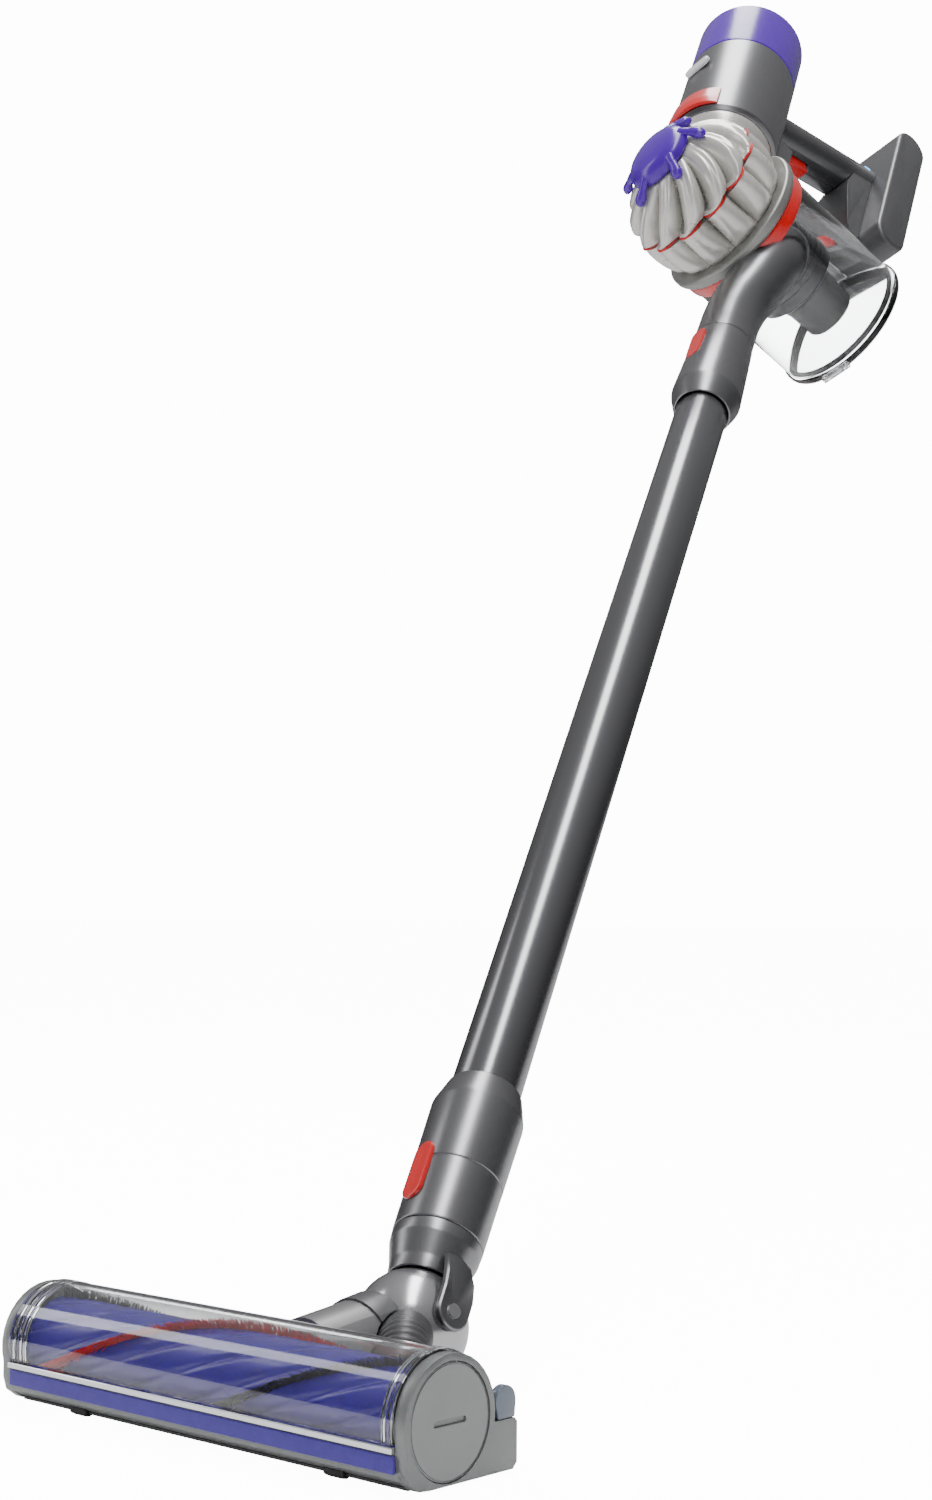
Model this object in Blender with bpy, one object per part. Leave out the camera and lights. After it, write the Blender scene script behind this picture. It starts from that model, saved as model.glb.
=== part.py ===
"""Cordless stick vacuum: a motorised floor head, a two-axis neck, a wand and a hand-held cyclone unit.

Units are metres, +Z is up. The origin is the centre of the floor head's flat sole, behind the suction mouth.
+X runs along the floor head towards its locking end cap, and the head's front faces -Y.
"""
import bpy
import bmesh
from math import asin, atan2, cos, pi, radians, sin, sqrt
from mathutils import Matrix, Vector

for old in list(bpy.data.objects):
    bpy.data.objects.remove(old, do_unlink=True)

# ---- driving dimensions ---------------------------------------------------------------------------------
GAP = 0.0003            # between two pieces that touch
RUN = 0.0006            # between two pieces that turn or slide past each other

# pose of the neck and the wand
SWIVEL_RISE = radians(7.166)    # the swivel axis climbs this much towards the back
SWIVEL_TURN = radians(-21.766)  # how far the neck is rolled on the swivel
WAND_LEAN = radians(40.227)     # wand's lean back from upright, before the roll

# floor head
HEAD_HALF = 0.125       # half of its width
PLATE = 0.0055          # thickness of an end plate
BRUSH_Y = -0.031        # brush axis, in front of the origin
BRUSH_Z = 0.0243        # brush axis above the sole
DISC_R = 0.0232         # locking end cap
PLATE_R = 0.0264        # round shoulder of an end plate
COVER_R = 0.0272        # clear cover, outside
COVER_WALL = 0.0016
COVER_REAR = radians(20)
BRISTLE_R = 0.0245      # bristle tips
BRUSH_R = 0.0200        # brush tube, outside
BRUSH_WALL = 0.0025
BEARING_THICK = 0.0025     # between the brush motor and the bore of its tube
BRUSH_MOTOR_LEN = 0.088
CAP_PIN_R = 0.0038
STRIP_TURNS = 0.66      # turns of a bristle strip along the brush
STRIP_START = radians(212)
STRIP_WIDTH = 0.0042
REAR_Y = 0.040          # back of the chassis, behind the brush axis
DECK_Z = 0.0202         # top of the chassis at its back
BAR_FACE = 0.0246       # front face of the chassis, ahead of the brush axis
BAR_TOP = 0.0150
SOLE_THICK = 0.0012
MOUTH_HALF = 0.0100     # half of the suction mouth, front to back
MOUTH_MARGIN = 0.0033   # from an end of the mouth to the end plate
WHEEL_DROP = 0.0015     # wheels stand this far below the sole
FRONT_WHEEL_R = 0.0026
FRONT_WHEEL_W = 0.011
FRONT_WHEEL_X = (-0.079, 0.080)
REAR_WHEEL_R = 0.0060
REAR_WHEEL_W = 0.008
REAR_WHEEL_X = 0.098

# neck
NECK_X = 0.0018         # centre of the ball
NECK_Y = 0.0781
NECK_Z = 0.0310
BALL_R = 0.0270
BALL_WALL = 0.0022
STUB_R = 0.0215         # fixed half of the swivel
STUB_WALL = 0.0028
COLLAR_R = 0.0225
SEAM_BACK = 0.0355      # swivel seam, ahead of the ball's centre
BALL_MOUTH_R = 0.01537  # radius of the flat that the collar meets
HOSE_R = 0.0125
HOSE_WALL = 0.0016
PORT_X = 0.034          # hose port on the back of the head
PORT_Z = 0.0245
CONE_FOOT = 0.0222      # lower rim of the neck cone, along the wand from the ball's centre
CONE_FOOT_R = 0.0180
CONE_TOP = 0.0470
CONE_TOP_R = 0.0224
SPIGOT_R = 0.0172
SPIGOT_TOP = 0.0950
SPIGOT_WALL = 0.0020
EAR_R = 0.0090
EAR_THICK = 0.0030
PIN_R = 0.0035

# wand
TUBE_R = 0.0180
TUBE_WALL = 0.0014
TUBE_FOOT = 0.1000
TUBE_TOP = 0.8000
SLEEVE_LEN = 0.0300     # narrow stretch inside the collar, which the tube stands on
PLUG_LEN = 0.0500       # plastic end of the tube, inside the socket
FOOT_COLLAR_R = 0.0238
FOOT_COLLAR_SHOULDER = 0.1230
FOOT_COLLAR_TOP = 0.1390
FOOT_BUTTON_Z = 0.0752
BUTTON_LEN = 0.0340
BUTTON_WIDTH = 0.0130
BUTTON_PROUD = 0.0012
BUTTON_DEPTH = 0.0040

# hand-held unit: inlet
SOCKET_FOOT = 0.7470
SOCKET_SHOULDER = 0.7630
SOCKET_R = 0.0245
SOCKET_TOP = 0.8295
SOCKET_TOP_R = 0.0215
TOP_BUTTON_Z = 0.8080
DUCT_R = 0.0212
DUCT_WALL = 0.0016

# hand-held unit: cyclone and bin, along an axis that points forwards and a little down the wand
CYCLONE_Y = -0.0308     # centre of the cyclone's rim
CYCLONE_Z = 0.9692
CYCLONE_DIP = radians(8.38)
RIM_R = 0.0596
BAND_LEN = 0.0090
RED_RING_LEN = 0.0120
BIN_R = 0.0545
BIN_WALL = 0.0020
BIN_LEN = 0.1260        # rim to lid
LID_R = 0.0564
LID_LEN = 0.0070
SHROUD_R = 0.0360
SHROUD_LEN = 0.0700
STUB_END_R = 0.0205
STUB_END_LEN = 0.0330
LOWER_TIER_LEN = 0.0340
UPPER_TIER_LEN = 0.0700
LOBES = 12
LOBE_DEPTH = 0.0090         # of the valleys between the cyclone cones
PREFILTER_R = 0.0274
PREFILTER_TOP = 0.0837
PREFILTER_CORE_R = 0.0150

# hand-held unit: motor
MOTOR_Y = -0.0587       # centre of the seam between housing and exhaust cap
MOTOR_Z = 1.1379
MOTOR_TILT = radians(2.1)
HOUSING_R = 0.0423
HOUSING_WALL = 0.0025
HOUSING_LEN = 0.1060
CAP_LEN = 0.0615
MOTOR_CAN_R = 0.0260
MOTOR_CAN_LEN = 0.0420
SHAFT_R = 0.0025
IMPELLER_R = 0.0240
SLIDER_HALF = radians(38)
SLIDER_LEN = 0.0240

# hand-held unit: handle and battery
GRIP_R = 0.0178
GRIP_WALL = 0.0022
GRIP_RISE = radians(29)
GRIP_Y = 0.0280         # a point on the grip's axis
GRIP_Z = 1.1460
GRIP_FRONT = 0.0520     # ahead of that point, along the axis
GRIP_BACK = 0.0700
TRIGGER_LEN = 0.0260
TRIGGER_HALF = 0.0050
TRIGGER_TRAVEL = 0.0030
FOOT_HALF = 0.0160      # half of the battery foot's width
FOOT_LOW = 1.0780
SLAB_Y = 0.0960
SLAB_Z = 1.1550
SLAB_LEN = 0.1720
SLAB_THICK = 0.0310
SLAB_WIDTH = 0.0750

# ---- finishes: colour, roughness, metallic -------------------------------------------------------
FINISHES = {
    "gunmetal": ((0.30, 0.30, 0.31), 0.32, 0.85),
    "dark_grey": ((0.11, 0.11, 0.12), 0.45, 0.20),
    "mid_grey": ((0.33, 0.34, 0.34), 0.40, 0.30),
    "light_grey": ((0.56, 0.55, 0.52), 0.38, 0.35),
    "polished": ((0.62, 0.62, 0.63), 0.16, 1.00),
    "steel": ((0.60, 0.60, 0.60), 0.30, 1.00),
    "clear": ((0.88, 0.90, 0.92), 0.05, 0.00),
    "smoke": ((0.18, 0.21, 0.24), 0.12, 0.00),
    "red": ((0.72, 0.02, 0.02), 0.30, 0.00),
    "purple": ((0.16, 0.03, 0.55), 0.15, 0.00),
    "indigo": ((0.10, 0.07, 0.42), 0.35, 0.00),
    "felt": ((0.10, 0.06, 0.40), 0.90, 0.00),
    "black": ((0.02, 0.02, 0.02), 0.60, 0.00),
    "copper": ((0.60, 0.28, 0.12), 0.35, 0.90),
    "filter": ((0.80, 0.80, 0.78), 0.95, 0.00),
}


def finish(name):
    """The material of one finish, made the first time it is asked for."""
    known = bpy.data.materials.get(name)
    if known:
        return known
    colour, roughness, metallic = FINISHES[name]
    made = bpy.data.materials.new(name)
    made.use_nodes = True
    shader = made.node_tree.nodes["Principled BSDF"]
    shader.inputs["Base Color"].default_value = (*colour, 1.0)
    shader.inputs["Roughness"].default_value = roughness
    shader.inputs["Metallic"].default_value = metallic
    return made


def empty(name, parent, place, turn=None):
    """A frame of axes: place in its parent's frame, and a rotation matrix or none."""
    made = bpy.data.objects.new(name, None)
    bpy.context.scene.collection.objects.link(made)
    made.parent = parent
    turned_by = turn.to_4x4() if turn else Matrix()
    made.matrix_local = Matrix.Translation(Vector(place)) @ turned_by
    return made


def piece(name, mesh, parent, look=None):
    """One object from a bmesh, in its parent's frame. Without a look it is a cutter."""
    bmesh.ops.recalc_face_normals(mesh, faces=mesh.faces)
    data = bpy.data.meshes.new(name)
    mesh.to_mesh(data)
    mesh.free()
    made = bpy.data.objects.new(name, data)
    bpy.context.scene.collection.objects.link(made)
    made.parent = parent
    if look:
        data.materials.append(finish(look))
        data.shade_smooth()
        data.set_sharp_from_angle(angle=radians(35))
    else:
        made.hide_render = True
        made.display_type = "WIRE"
    return made


def combine(target, tool, operation):
    """Add a cutter to a piece, or take it away."""
    step = target.modifiers.new(tool.name, "BOOLEAN")
    step.operation = operation
    step.solver = "EXACT"
    step.object = tool
    return target


def cut(target, tool):
    return combine(target, tool, "DIFFERENCE")


def add(target, tool):
    return combine(target, tool, "UNION")


# ---- shapes ----------------------------------------------------------------------------------------------
def skin(rings, closed_along, cap_ends):
    """Join rings of points, each a list as long as the others, into one surface."""
    mesh = bmesh.new()
    rows = []
    for ring in rings:
        rows.append([mesh.verts.new(point) for point in ring])
    count = len(rows[0])
    pairs = len(rows) if closed_along else len(rows) - 1
    for low in range(pairs):
        high = (low + 1) % len(rows)
        for turn in range(count):
            after = (turn + 1) % count
            mesh.faces.new((rows[low][turn], rows[low][after], rows[high][after], rows[high][turn]))
    if cap_ends:
        mesh.faces.new(list(reversed(rows[0])))
        mesh.faces.new(rows[-1])
    return mesh


def turned(profile, segments=32, wave=None):
    """A solid turned about local Z from (radius, height) points.

    A profile that starts and ends on the axis is a solid; any other is closed into a ring.
    wave, where given, returns the radius at an angle from the profile's radius and height.
    """
    solid = profile[0][0] == 0 and profile[-1][0] == 0
    rim = profile[1:-1] if solid else profile
    rings = []
    for radius, height in rim:
        ring = []
        for step in range(segments):
            angle = 2 * pi * step / segments
            reach = wave(radius, height, angle) if wave else radius
            ring.append((reach * cos(angle), reach * sin(angle), height))
        rings.append(ring)
    if not solid:
        return skin(rings, True, False)
    mesh = skin(rings, False, False)
    mesh.verts.ensure_lookup_table()
    for ring_start, tip in ((0, profile[0]), (len(mesh.verts) - segments, profile[-1])):
        rim_verts = [mesh.verts[ring_start + step] for step in range(segments)]
        if tip[1] == (rim[0][1] if ring_start == 0 else rim[-1][1]):
            mesh.faces.new(rim_verts)
            continue
        centre = mesh.verts.new((0, 0, tip[1]))
        for step in range(segments):
            mesh.faces.new((rim_verts[step], rim_verts[(step + 1) % segments], centre))
    return mesh


def ring_profile(inner, outer, low, high):
    return [(outer, low), (outer, high), (inner, high), (inner, low)]


def disc_profile(radius, low, high):
    return [(0, low), (radius, low), (radius, high), (0, high)]


def prism(outline, low, high, axis="Z"):
    """An outline carried along an axis. Its points are (x, y) for Z, and (y, z) for X."""
    rings = []
    for level in (low, high):
        if axis == "Z":
            rings.append([(a, b, level) for a, b in outline])
        else:
            rings.append([(level, a, b) for a, b in outline])
    return skin(rings, False, True)


def block(low, high):
    outline = [(low[0], low[1]), (high[0], low[1]), (high[0], high[1]), (low[0], high[1])]
    return prism(outline, low[2], high[2])


def arc(centre, radius, start, end, steps):
    """Points on a circle's arc, angles in radians."""
    points = []
    for step in range(steps + 1):
        angle = start + (end - start) * step / steps
        points.append((centre[0] + radius * cos(angle), centre[1] + radius * sin(angle)))
    return points


def stadium(length, width, steps=6):
    """An oblong with round ends, length along the second coordinate."""
    radius = width / 2
    reach = length / 2 - radius
    return arc((0, reach), radius, 0, pi, steps) + arc((0, -reach), radius, pi, 2 * pi, steps)


def along(points, radii, segments, wall=0.0, closed_top=False):
    """A round tube along a path, hollow where it has a wall, with a closed end where asked."""
    route = [Vector(point) for point in points]
    rings = []
    side = None
    frames = []
    for index, here in enumerate(route):
        ahead = route[min(index + 1, len(route) - 1)] - route[max(index - 1, 0)]
        ahead.normalize()
        if side is None:
            guess = Vector((1, 0, 0)) if abs(ahead.x) < 0.9 else Vector((0, 1, 0))
            side = (guess - ahead * guess.dot(ahead)).normalized()
        else:
            side = (side - ahead * side.dot(ahead)).normalized()
        frames.append((here, side.copy(), ahead.cross(side)))
    for (here, across, up), radius in zip(frames, radii):
        rings.append([here + (across * cos(a) + up * sin(a)) * radius
                      for a in (2 * pi * step / segments for step in range(segments))])
    if not wall:
        return skin(rings, False, True)
    last = len(frames) - 1 if closed_top else len(frames)
    inside = []
    for (here, across, up), radius in list(zip(frames, radii))[:last]:
        inside.append([here + (across * cos(a) + up * sin(a)) * max(radius - wall, 0.001)
                       for a in (2 * pi * step / segments for step in range(segments))])
    inside.reverse()
    if not closed_top:
        return skin(rings + inside, True, False)
    outer = skin(rings + [], False, False)
    return close_cup(outer, rings, inside)


def close_cup(outer, rings, inside):
    """Close a tube's far end outside and inside, and join the two walls at its near end."""
    outer.free()
    mesh = bmesh.new()
    rows = [[mesh.verts.new(point) for point in ring] for ring in inside + rings]
    count = len(rows[0])
    for low in range(len(rows) - 1):
        for turn in range(count):
            after = (turn + 1) % count
            mesh.faces.new((rows[low][turn], rows[low][after], rows[low + 1][after], rows[low + 1][turn]))
    mesh.faces.new(list(reversed(rows[0])))
    mesh.faces.new(rows[-1])
    return mesh


# ---- frames --------------------------------------------------------------------------------------
TO_X = Matrix.Rotation(radians(90), 3, "Y")     # local Z runs along +X
TO_X_OUT = Matrix.Rotation(radians(-90), 3, "Y")
head = empty("head_frame", None, (0, 0, 0))
brush_line = empty("brush_axis", head, (0, BRUSH_Y, BRUSH_Z), TO_X)
swivel_axis = Vector((0, cos(SWIVEL_RISE), sin(SWIVEL_RISE)))
roll = Matrix.Rotation(SWIVEL_TURN, 3, swivel_axis)
ball_place = (NECK_X, NECK_Y, NECK_Z)
along_swivel = Matrix.Rotation(SWIVEL_RISE - radians(90), 3, "X")
swivel_fixed = empty("swivel_axis_fixed", head, ball_place, along_swivel)
knuckle = empty("knuckle_frame", head, ball_place, roll)
swivel_moving = empty("swivel_axis_moving", knuckle, (0, 0, 0), along_swivel)
wand = empty("wand_frame", knuckle, (0, 0, 0), Matrix.Rotation(-WAND_LEAN, 3, "X"))
cyclone = empty("cyclone_axis", wand, (0, CYCLONE_Y, CYCLONE_Z), Matrix.Rotation(radians(90) + CYCLONE_DIP, 3, "X"))
motor = empty("motor_axis", wand, (0, MOTOR_Y, MOTOR_Z), Matrix.Rotation(MOTOR_TILT, 3, "X"))
grip = empty("grip_axis", wand, (0, GRIP_Y, GRIP_Z), Matrix.Rotation(GRIP_RISE - radians(90), 3, "X"))

# ---- floor head: chassis, cover and sole ---------------------------------------------------------
SWEEP_R = BRISTLE_R + RUN                   # room for the turning bristles
inner_half = HEAD_HALF - PLATE              # inside faces of the end plates
bay_half = inner_half - GAP


def on_sweep(height):
    """How far from the brush axis the bristles' room reaches, front or back, at a height."""
    return sqrt(SWEEP_R ** 2 - (BRUSH_Z - height) ** 2)


def plate_outline():
    """Side view of an end plate: a round shoulder over the brush and a low tail behind."""
    shoulder = arc((BRUSH_Y, BRUSH_Z), PLATE_R, radians(196), radians(-9), 20)
    nose = [(BRUSH_Y - 0.0120, 0.0), (BRUSH_Y - 0.0180, 0.0006), (BRUSH_Y - 0.0236, 0.0046),
            (BRUSH_Y - BAR_FACE - 0.0008, 0.0105)]
    tail = [(BRUSH_Y + REAR_Y - 0.0015, DECK_Z), (BRUSH_Y + REAR_Y, DECK_Z - 0.0015),
            (BRUSH_Y + REAR_Y, 0.0025), (BRUSH_Y + REAR_Y - 0.0025, 0.0)]
    return nose + shoulder + tail


def front_bar():
    """Side view of the bar under the cover's front edge."""
    low = SOLE_THICK + GAP
    face = BRUSH_Y - BAR_FACE
    outside = [(BRUSH_Y - 0.0180, low), (face, 0.0052), (face, BAR_TOP)]
    levels = [BAR_TOP, 0.0105, 0.0065, 0.0035, low]
    inside = [(BRUSH_Y - on_sweep(level), level) for level in levels]
    return outside + inside


def rear_deck():
    """Side view of the block behind the brush."""
    low = SOLE_THICK + GAP
    levels = [low, 0.0050, 0.0100, 0.0155, DECK_Z]
    inside = [(BRUSH_Y + on_sweep(level), level) for level in levels]
    top = [(BRUSH_Y + on_sweep(BRUSH_Z) + 0.0002, 0.0265), (BRUSH_Y + on_sweep(BRUSH_Z) + 0.0035, 0.0265),
           (BRUSH_Y + REAR_Y - 0.0040, DECK_Z - 0.0010)]
    back = [(BRUSH_Y + REAR_Y, DECK_Z - 0.0050), (BRUSH_Y + REAR_Y, low)]
    return inside + top + back


def wheel_rooms(prefix):
    """Cutters that clear the four wheels out of a piece of the head."""
    rooms = []
    places = [(x, BRUSH_Y - 0.0170, FRONT_WHEEL_R, FRONT_WHEEL_W) for x in FRONT_WHEEL_X]
    places += [(x, BRUSH_Y + 0.0318, REAR_WHEEL_R, REAR_WHEEL_W) for x in (-REAR_WHEEL_X, REAR_WHEEL_X)]
    for number, (x, y, radius, width) in enumerate(places):
        axle = empty(f"{prefix}_room_axle_{number}", head, (x, y, radius - WHEEL_DROP), TO_X)
        room = turned(disc_profile(radius + RUN, -width / 2 - RUN, width / 2 + RUN), 20)
        rooms.append(piece(f"{prefix}_room_{number}", room, axle))
    return rooms


chassis = piece("head_chassis", prism(front_bar(), -inner_half - 0.001, inner_half + 0.001, "X"), head, "mid_grey")
add(chassis, piece("deck_block", prism(rear_deck(), -inner_half - 0.001, inner_half + 0.001, "X"), head))
add(chassis, piece("right_plate", prism(plate_outline(), inner_half, HEAD_HALF, "X"), head))
add(chassis, piece("left_plate", prism(plate_outline(), -HEAD_HALF, -inner_half, "X"), head))
cap_hole = turned(disc_profile(DISC_R + GAP, inner_half - 0.002, HEAD_HALF + 0.001), 32)
cut(chassis, piece("cap_hole", cap_hole, brush_line))
port_axis = empty("port_axis", head, (PORT_X, BRUSH_Y + REAR_Y, 0.0135), Matrix.Rotation(radians(-90), 3, "X"))
cut(chassis, piece("duct_hole", turned(disc_profile(0.0095, -0.030, 0.001), 20), port_axis))
for room in wheel_rooms("chassis"):
    cut(chassis, room)

sole = piece("sole_plate", block((-bay_half, BRUSH_Y - 0.0178, 0), (bay_half, BRUSH_Y + REAR_Y - 0.0030, SOLE_THICK)),
             head, "dark_grey")
mouth_end = inner_half - MOUTH_MARGIN
mouth = block((-mouth_end, BRUSH_Y - MOUTH_HALF, -0.001), (mouth_end, BRUSH_Y + MOUTH_HALF, SOLE_THICK + 0.001))
cut(sole, piece("mouth_cut", mouth, head))
for room in wheel_rooms("sole"):
    cut(sole, room)

cover_low = pi + asin((BRUSH_Z - BAR_TOP - 0.0034) / (COVER_R - COVER_WALL / 2))
cover_arc = arc((BRUSH_Y, BRUSH_Z), COVER_R, COVER_REAR, cover_low, 18)
cover_arc += arc((BRUSH_Y, BRUSH_Z), COVER_R - COVER_WALL, cover_low, COVER_REAR, 18)
piece("clear_cover", prism(cover_arc, -bay_half, bay_half, "X"), head, "clear")
rail_top = BAR_TOP + GAP + 0.0026
piece("cover_rail", block((-bay_half, BRUSH_Y - COVER_R - 0.0004, BAR_TOP + GAP),
                          (bay_half, BRUSH_Y - on_sweep(BAR_TOP) - 0.0006, rail_top)), head, "polished")
piece("front_felt", block((-bay_half, BRUSH_Y - BAR_FACE - GAP - 0.0013, 0.0074),
                          (bay_half, BRUSH_Y - BAR_FACE - GAP, 0.0144)), head, "felt")
hump = arc((BRUSH_Y + 0.0334, DECK_Z + 0.0072), 0.0062, radians(185), radians(-5), 10)
hump = [(BRUSH_Y + 0.0390, DECK_Z + GAP), (BRUSH_Y + 0.0290, DECK_Z + GAP)] + hump
window_place = (inner_half + 0.0014, HEAD_HALF - 0.0004)
piece("rear_window", prism(hump, window_place[0], window_place[1], "X"), head, "smoke")

# ---- floor head: wheels --------------------------------------------------------------------------
for name, x, y, radius, width in (
        ("front_wheel_left", FRONT_WHEEL_X[0], BRUSH_Y - 0.0170, FRONT_WHEEL_R, FRONT_WHEEL_W),
        ("front_wheel_right", FRONT_WHEEL_X[1], BRUSH_Y - 0.0170, FRONT_WHEEL_R, FRONT_WHEEL_W),
        ("rear_wheel_left", -REAR_WHEEL_X, BRUSH_Y + 0.0318, REAR_WHEEL_R, REAR_WHEEL_W),
        ("rear_wheel_right", REAR_WHEEL_X, BRUSH_Y + 0.0318, REAR_WHEEL_R, REAR_WHEEL_W)):
    axle = empty(f"{name}_axle", head, (x, y, radius - WHEEL_DROP), TO_X)
    tread = radius - 0.0004
    rim = [(0, -width / 2), (tread, -width / 2), (radius, -width / 4), (radius, width / 4), (tread, width / 2),
           (0, width / 2)]
    piece(name, turned(rim, 20), axle, "black")

# ---- floor head: brush and its drive -------------------------------------------------------------
brush_half = inner_half - 0.0045
piece("brush_tube", turned(ring_profile(BRUSH_R - BRUSH_WALL, BRUSH_R, -brush_half, brush_half), 28), brush_line, "indigo")


def bristle_strip(start):
    """A strip wound along the brush tube: four edges that turn as they go along it."""
    reach = brush_half - 0.0015
    rings = []
    steps = 36
    for step in range(steps + 1):
        place = -reach + 2 * reach * step / steps
        middle = start - 2 * pi * STRIP_TURNS * step / steps
        ring = []
        for radius, lean in ((BRUSH_R + GAP, -1), (BRUSH_R + GAP, 1), (BRISTLE_R, 0.7), (BRISTLE_R, -0.7)):
            angle = middle + lean * STRIP_WIDTH / 2 / radius
            ring.append((radius * sin(angle) * -1, radius * cos(angle), place))
        rings.append(ring)
    return skin(rings, False, True)


for number, (name, look) in enumerate((("red_bristles", "red"), ("black_bristles_a", "black"),
                                       ("black_bristles_b", "black"))):
    piece(name, bristle_strip(STRIP_START + 2 * pi * number / 3), brush_line, look)

bore_r = BRUSH_R - BRUSH_WALL
motor_start = -inner_half + GAP
motor_r = bore_r - BEARING_THICK
piece("brush_motor", turned([(0, motor_start), (motor_r, motor_start),
                             (motor_r, motor_start + BRUSH_MOTOR_LEN - 0.004),
                             (motor_r - 0.003, motor_start + BRUSH_MOTOR_LEN), (0, motor_start + BRUSH_MOTOR_LEN)],
                            28), brush_line, "steel")
piece("brush_bearing", turned(ring_profile(motor_r + GAP, bore_r - GAP, -brush_half + 0.004, -brush_half + 0.011), 28),
      brush_line, "steel")
plug_low = brush_half - 0.014
piece("brush_plug", turned(ring_profile(CAP_PIN_R + GAP, bore_r - GAP, plug_low, brush_half - 0.0005), 28),
      brush_line, "dark_grey")
cap = piece("end_cap", turned([(0, plug_low + 0.001), (CAP_PIN_R, plug_low + 0.001), (CAP_PIN_R, inner_half + GAP),
                               (DISC_R, inner_half + GAP), (DISC_R, HEAD_HALF - 0.0010),
                               (DISC_R - 0.0008, HEAD_HALF - 0.0002), (0, HEAD_HALF - 0.0002)], 32),
            brush_line, "mid_grey")
cut(cap, piece("coin_slot", block((-0.0011, -0.0095, HEAD_HALF - 0.0016), (0.0011, 0.0095, HEAD_HALF + 0.001)), brush_line))

# ---- neck: swivel stub, hose port, ball, collar, hose --------------------------------------------
stub_foot = -(NECK_Y - BRUSH_Y - REAR_Y) / cos(SWIVEL_RISE) + 0.0035
stub = piece("swivel_stub", turned(ring_profile(STUB_R - STUB_WALL, STUB_R, stub_foot, -SEAM_BACK - GAP), 28),
             swivel_fixed, "mid_grey")
SLEEVE_R = STUB_R - STUB_WALL - RUN
ball_front = sqrt(BALL_R ** 2 - BALL_MOUTH_R ** 2)
collar_profile = [(SLEEVE_R, -SEAM_BACK - 0.018), (SLEEVE_R, -SEAM_BACK), (COLLAR_R, -SEAM_BACK),
                  (COLLAR_R + 0.0004, -ball_front - GAP), (0.0150, -ball_front - GAP), (0.0150, -SEAM_BACK - 0.018)]
collar = piece("knuckle_collar", turned(collar_profile, 28), swivel_moving, "dark_grey")

front_half_angle = atan2(BALL_MOUTH_R, ball_front)
ball_steps = 9
outside = [(BALL_R * sin(a), -BALL_R * cos(a)) for a in
           (front_half_angle + (pi - front_half_angle) * step / ball_steps for step in range(ball_steps + 1))]
outside[-1] = (0, BALL_R)
ball_in = BALL_R - BALL_WALL
inside_angle = asin(0.0130 / ball_in)
inside = [(ball_in * sin(a), -ball_in * cos(a)) for a in
          (pi - (pi - inside_angle) * step / ball_steps for step in range(ball_steps + 1))]
inside[0] = (0, ball_in)


def ball_shell():
    """A hollow ball, open at its front, from an outer and an inner arc that both end on the axis."""
    segments = 24
    mesh = bmesh.new()
    rows = []
    for radius, height in outside[:-1]:
        rows.append([mesh.verts.new((radius * cos(2 * pi * k / segments), radius * sin(2 * pi * k / segments), height))
                     for k in range(segments)])
    inner_rows = []
    for radius, height in inside[1:]:
        inner_rows.append([mesh.verts.new((radius * cos(2 * pi * k / segments), radius * sin(2 * pi * k / segments),
                                           height)) for k in range(segments)])
    loops = [inner_rows[k] for k in range(len(inner_rows))] + rows
    for low, high in zip(loops, loops[1:]):
        for k in range(segments):
            after = (k + 1) % segments
            mesh.faces.new((low[k], low[after], high[after], high[k]))
    for ring, tip in ((loops[0], inside[0]), (loops[-1], outside[-1])):
        centre = mesh.verts.new((0, 0, tip[1]))
        for k in range(segments):
            mesh.faces.new((ring[k], ring[(k + 1) % segments], centre))
    return mesh


ball = piece("knuckle_ball", ball_shell(), swivel_moving, "polished")
cut(ball, piece("neck_passage", block((-0.0130, -0.0165, 0.0060), (0.0130, 0.0190, BALL_R + 0.002)), knuckle))

port_mouth = empty("port_mouth", head, (PORT_X, BRUSH_Y + REAR_Y, PORT_Z - 0.0085), Matrix.Rotation(radians(-90), 3, "X"))
piece("hose_port", turned(ring_profile(HOSE_R - HOSE_WALL - 0.0012, HOSE_R + 0.0012, 0.0010, 0.0090), 28), port_mouth,
      "dark_grey")
hose_end = Vector((0.62, -0.78, 0.03)).normalized() * (BALL_R + 0.0008)
port_y = BRUSH_Y + REAR_Y
hose_stop = Vector(ball_place) + hose_end
hose_route = [(PORT_X, port_y + 0.0094, PORT_Z - 0.0085), (PORT_X, port_y + 0.0130, PORT_Z - 0.0085),
              (PORT_X + 0.0004, port_y + 0.0200, PORT_Z - 0.0065), (PORT_X, port_y + 0.0285, PORT_Z + 0.0005),
              tuple(hose_stop - hose_end.normalized() * -0.0105 + Vector((0.0012, -0.0010, -0.0012))),
              tuple(hose_stop)]
hose = piece("suction_hose", along(hose_route, [HOSE_R] * len(hose_route), 20, HOSE_WALL), head, "dark_grey")
for target, label in ((stub, "stub"), (collar, "collar")):
    reach = hose_route + [tuple(hose_stop - hose_end.normalized() * 0.0040)]
    room = along(reach, [HOSE_R + 2 * RUN] * len(reach), 24)
    cut(target, piece(f"hose_room_{label}", room, head))
cut(stub, piece("port_room", turned(disc_profile(HOSE_R + 0.0012 + RUN, 0, 0.0100), 28), port_mouth))

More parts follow.
